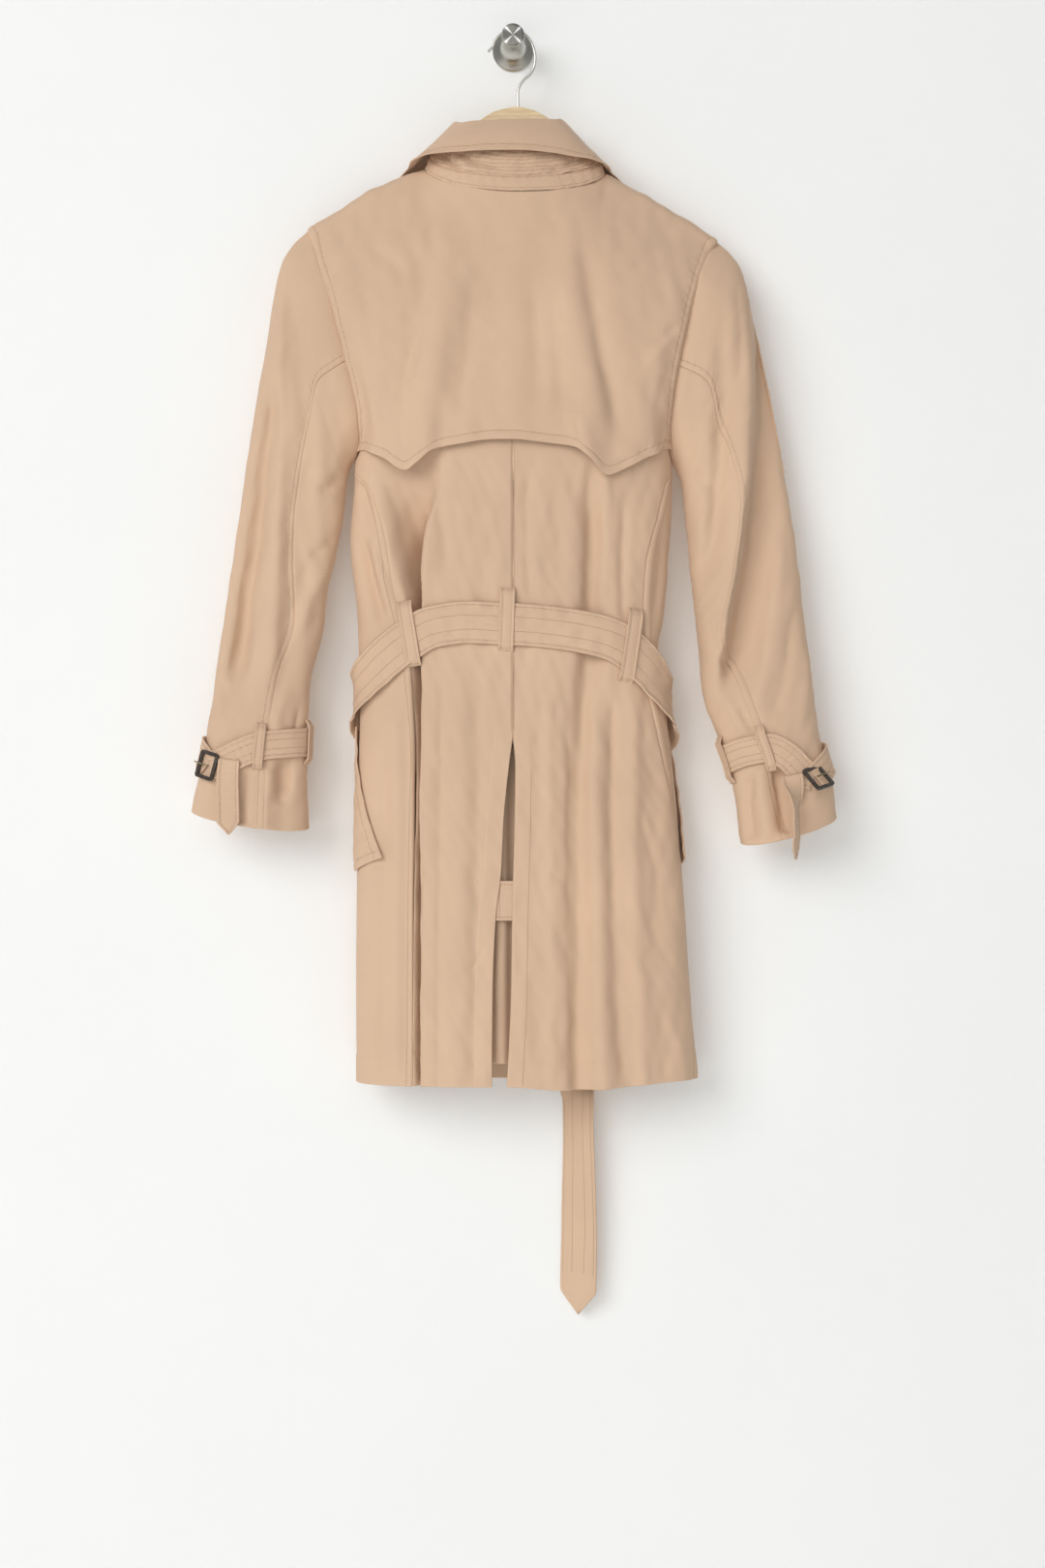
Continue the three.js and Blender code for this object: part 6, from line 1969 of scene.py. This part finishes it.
@dataclass
class Hanger:
    """The wooden hanger and the wire hook that it hangs by."""

    thickness: float = 10.0
    edge_radius: float = 2.6
    wire_radius: float = 1.4

    def top(self, x: Array) -> Array:
        """Height of the wood's upper edge."""
        arm = shoulder_at(x) - CLOTH / 2 - 2.8
        crest = smooth(*CREST, x)
        middle = np.minimum(crest, np.where(np.abs(x) > 94, arm, crest))
        return np.where(np.abs(x) > CREST[0][-1], arm, middle)

    def wood(self) -> None:
        """Builds the wood from a grid that is shaped to its outline, extruded and rounded."""
        columns, rows = 90, 6
        shape = HardShape("hanger_wood_arch", WoodFinish(), "hanger_wood")
        shape.begin(bpy.ops.mesh.primitive_grid_add, x_subdivisions=columns, y_subdivisions=rows, size=2.0)
        shape.close()
        mesh = shape.object.data
        x0, x1 = SHOULDER["left"][0][-1] + 17, SHOULDER["right"][0][-1] - 17
        for vertex in mesh.vertices:
            x = mix(x0, x1, (vertex.co.x + 1) / 2)
            upper = float(self.top(np.array(x)))
            lower = min(upper - 17, -116 - abs(x) * 0.34)
            z = mix(lower, upper, (vertex.co.y + 1) / 2)
            vertex.co = Vector((x, self.thickness / 2 - RIDGE_DEPTH, z)) * MM
        bpy.ops.object.mode_set(mode="EDIT")
        shape.pick_all()
        bpy.ops.mesh.extrude_region_move(TRANSFORM_OT_translate={"value": (0, -self.thickness * MM, 0)})
        shape.face_out()
        shape.soften(self.edge_radius, 4)
        shape.finish("hanger_wood")

    def hook(self) -> None:
        """Builds the hook from a curve that is thickened and made a mesh."""
        bpy.ops.object.select_all(action="DESELECT")
        bpy.ops.curve.primitive_nurbs_path_add()
        curve = bpy.context.active_object
        curve.data.splines.clear()
        spline = curve.data.splines.new("BEZIER")
        spline.bezier_points.add(len(HOOK) - 1)
        for knot, (x, z) in zip(spline.bezier_points, HOOK):
            knot.co = Vector((x, -RIDGE_DEPTH, z)) * MM
            knot.handle_left_type = knot.handle_right_type = "AUTO"
        curve.data.bevel_depth, curve.data.bevel_resolution = self.wire_radius * MM, 4
        curve.data.use_fill_caps, curve.data.resolution_u = True, 8
        bpy.ops.object.convert(target="MESH")
        shape = HardShape("hanger_hook_wire", SteelFinish("hook_steel", 0.25, 0.4, Lay.ALONG), "hook_wire")
        shape.start()
        shape.close()
        shape.finish("hanger_hook")

    def make(self) -> None:
        """Builds both."""
        self.wood()
        self.hook()


@dataclass
class WallKnob:
    """The turned steel knob on the wall."""

    sides: int = 64

    def make(self) -> None:
        """Builds it from a disc that is extruded and resized ring by ring."""
        shape = HardShape("wall_knob_turned", SteelFinish("knob_steel", 0.3, 0.85), "knob_steel")
        shape.begin(bpy.ops.mesh.primitive_circle_add, vertices=self.sides, radius=KNOB[0][0] * MM, fill_type="NGON",
                    rotation=(math.pi / 2, 0, 0))
        shape.pick_all()
        for (r0, d0), (r1, d1) in zip(KNOB[:-1], KNOB[1:]):
            bpy.ops.mesh.extrude_region_move(TRANSFORM_OT_translate={"value": (0, (d0 - d1) * MM, 0)})
            bpy.ops.transform.resize(value=(r1 / r0, 1, r1 / r0), center_override=(0, -d1 * MM, 0))
        for width in (2.8, 2.8, 2.0):
            bpy.ops.mesh.inset(thickness=width * MM)
        shape.face_out()
        shape.soften(0.35, 2)
        shape.finish("wall_knob")


# ---- studio ----

# Name, place, height that it faces, diameter and power.
LIGHTS = (
    ("key", (-3.6, -5.2, 1.6), -0.7, 4.2, 192),
    ("front", (-0.4, -6.0, 0.8), -0.7, 4.6, 68),
    ("fill_right", (2.2, -3.0, 0.0), -0.8, 2.2, 4),
    ("fill_low", (-0.4, -3.0, -1.5), -1.0, 1.8, 7),
    ("behind", (0.9, 2.6, 0.4), -0.7, 1.8, 26),
)
SKY_STRENGTH = 0.24


@dataclass
class Studio:
    """A pale floor and wall, soft lights and the camera."""

    wall_y: float = 0.0008
    floor_z: float = -1.85
    eye: Floats = (0.0096, -2.3, -0.7494)
    lens: float = 51.6
    pale: Floats = (0.93, 0.935, 0.925)

    def backdrop(self) -> Material:
        """A pale matt material that can be seen through from behind."""
        n = Nodes("pale_backdrop")
        grain = n.noise(n.place(), 3.0, 5.0)
        base = n.ramp(grain, [(0.3, shade(self.pale, 0.985)), (0.7, self.pale)])
        n.feed(n.shader, {"Base Color": base, "Roughness": 0.9, "Normal": n.bump(grain, 0.05, 0.001)})
        clear = n.add("BsdfTransparent").outputs[0]
        behind = n.add("NewGeometry").outputs["Backfacing"]
        shadow = n.add("LightPath").outputs["Is Shadow Ray"]
        open_way = n.calc("MAXIMUM", behind, shadow)
        choice = n.add("MixShader", {0: open_way, 1: n.shader.outputs[0], 2: clear}).outputs[0]
        output = next(node for node in n.tree.nodes if node.type == "OUTPUT_MATERIAL")
        n.tree.links.new(choice, output.inputs["Surface"])
        return n.material

    def sheet(self, name: str, size: float, place: tuple, turn: tuple, look: Material) -> None:
        """Adds one flat part of the stage."""
        bpy.ops.object.select_all(action="DESELECT")
        bpy.ops.mesh.primitive_plane_add(size=size, location=place, rotation=turn)
        flat = bpy.context.active_object
        flat.name = name
        flat.data.materials.append(look)

    def light(self, name: str, place: Floats, aim_z: float, size: float, power: float) -> None:
        """Adds one soft round light that faces a height in the middle of the coat."""
        data = bpy.data.lights.new(name, "AREA")
        data.shape, data.size, data.energy = "DISK", size, power
        lamp = bpy.data.objects.new(name, data)
        lamp.location = place
        lamp.rotation_euler = (Vector((0, 0, aim_z)) - Vector(place)).to_track_quat("-Z", "Y").to_euler()
        bpy.context.scene.collection.objects.link(lamp)

    def make(self) -> None:
        """Builds the stage, the lights and the camera."""
        look = self.backdrop()
        self.sheet("wall", 7.0, (0, self.wall_y, 1.0), (math.pi / 2, 0, 0), look)
        self.sheet("floor", 7.0, (0, -3.5, self.floor_z), (0, 0, 0), look)
        for lamp in LIGHTS:
            self.light(*lamp)
        world = bpy.context.scene.world = bpy.data.worlds.new("studio")
        world.use_nodes = True
        sky = world.node_tree.nodes["Background"].inputs
        sky["Color"].default_value, sky["Strength"].default_value = (1, 1, 1, 1), SKY_STRENGTH
        data = bpy.data.cameras.new("camera")
        data.lens, data.sensor_width = self.lens, 36
        camera = bpy.data.objects.new("camera", data)
        camera.location, camera.rotation_euler = self.eye, (math.pi / 2, 0, 0)
        bpy.context.scene.collection.objects.link(camera)
        bpy.context.scene.camera = camera
        bpy.context.scene.view_settings.view_transform = "Standard"


def main() -> None:
    """Builds the coat, its hanger and the knob round the frame."""
    logging.basicConfig(level=logging.INFO, format="%(name)s: %(message)s")
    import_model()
    Studio().make()
    BodyBack().make()
    StormShield().make()
    Vent().make()
    Fronts().make()
    Collar().make()
    for side in Side:
        form = Sleeve(side).make()
        Cuff(side, form).make()
    Belt().make()
    Hanger().make()
    WallKnob().make()


if __name__ == "__main__":
    main()
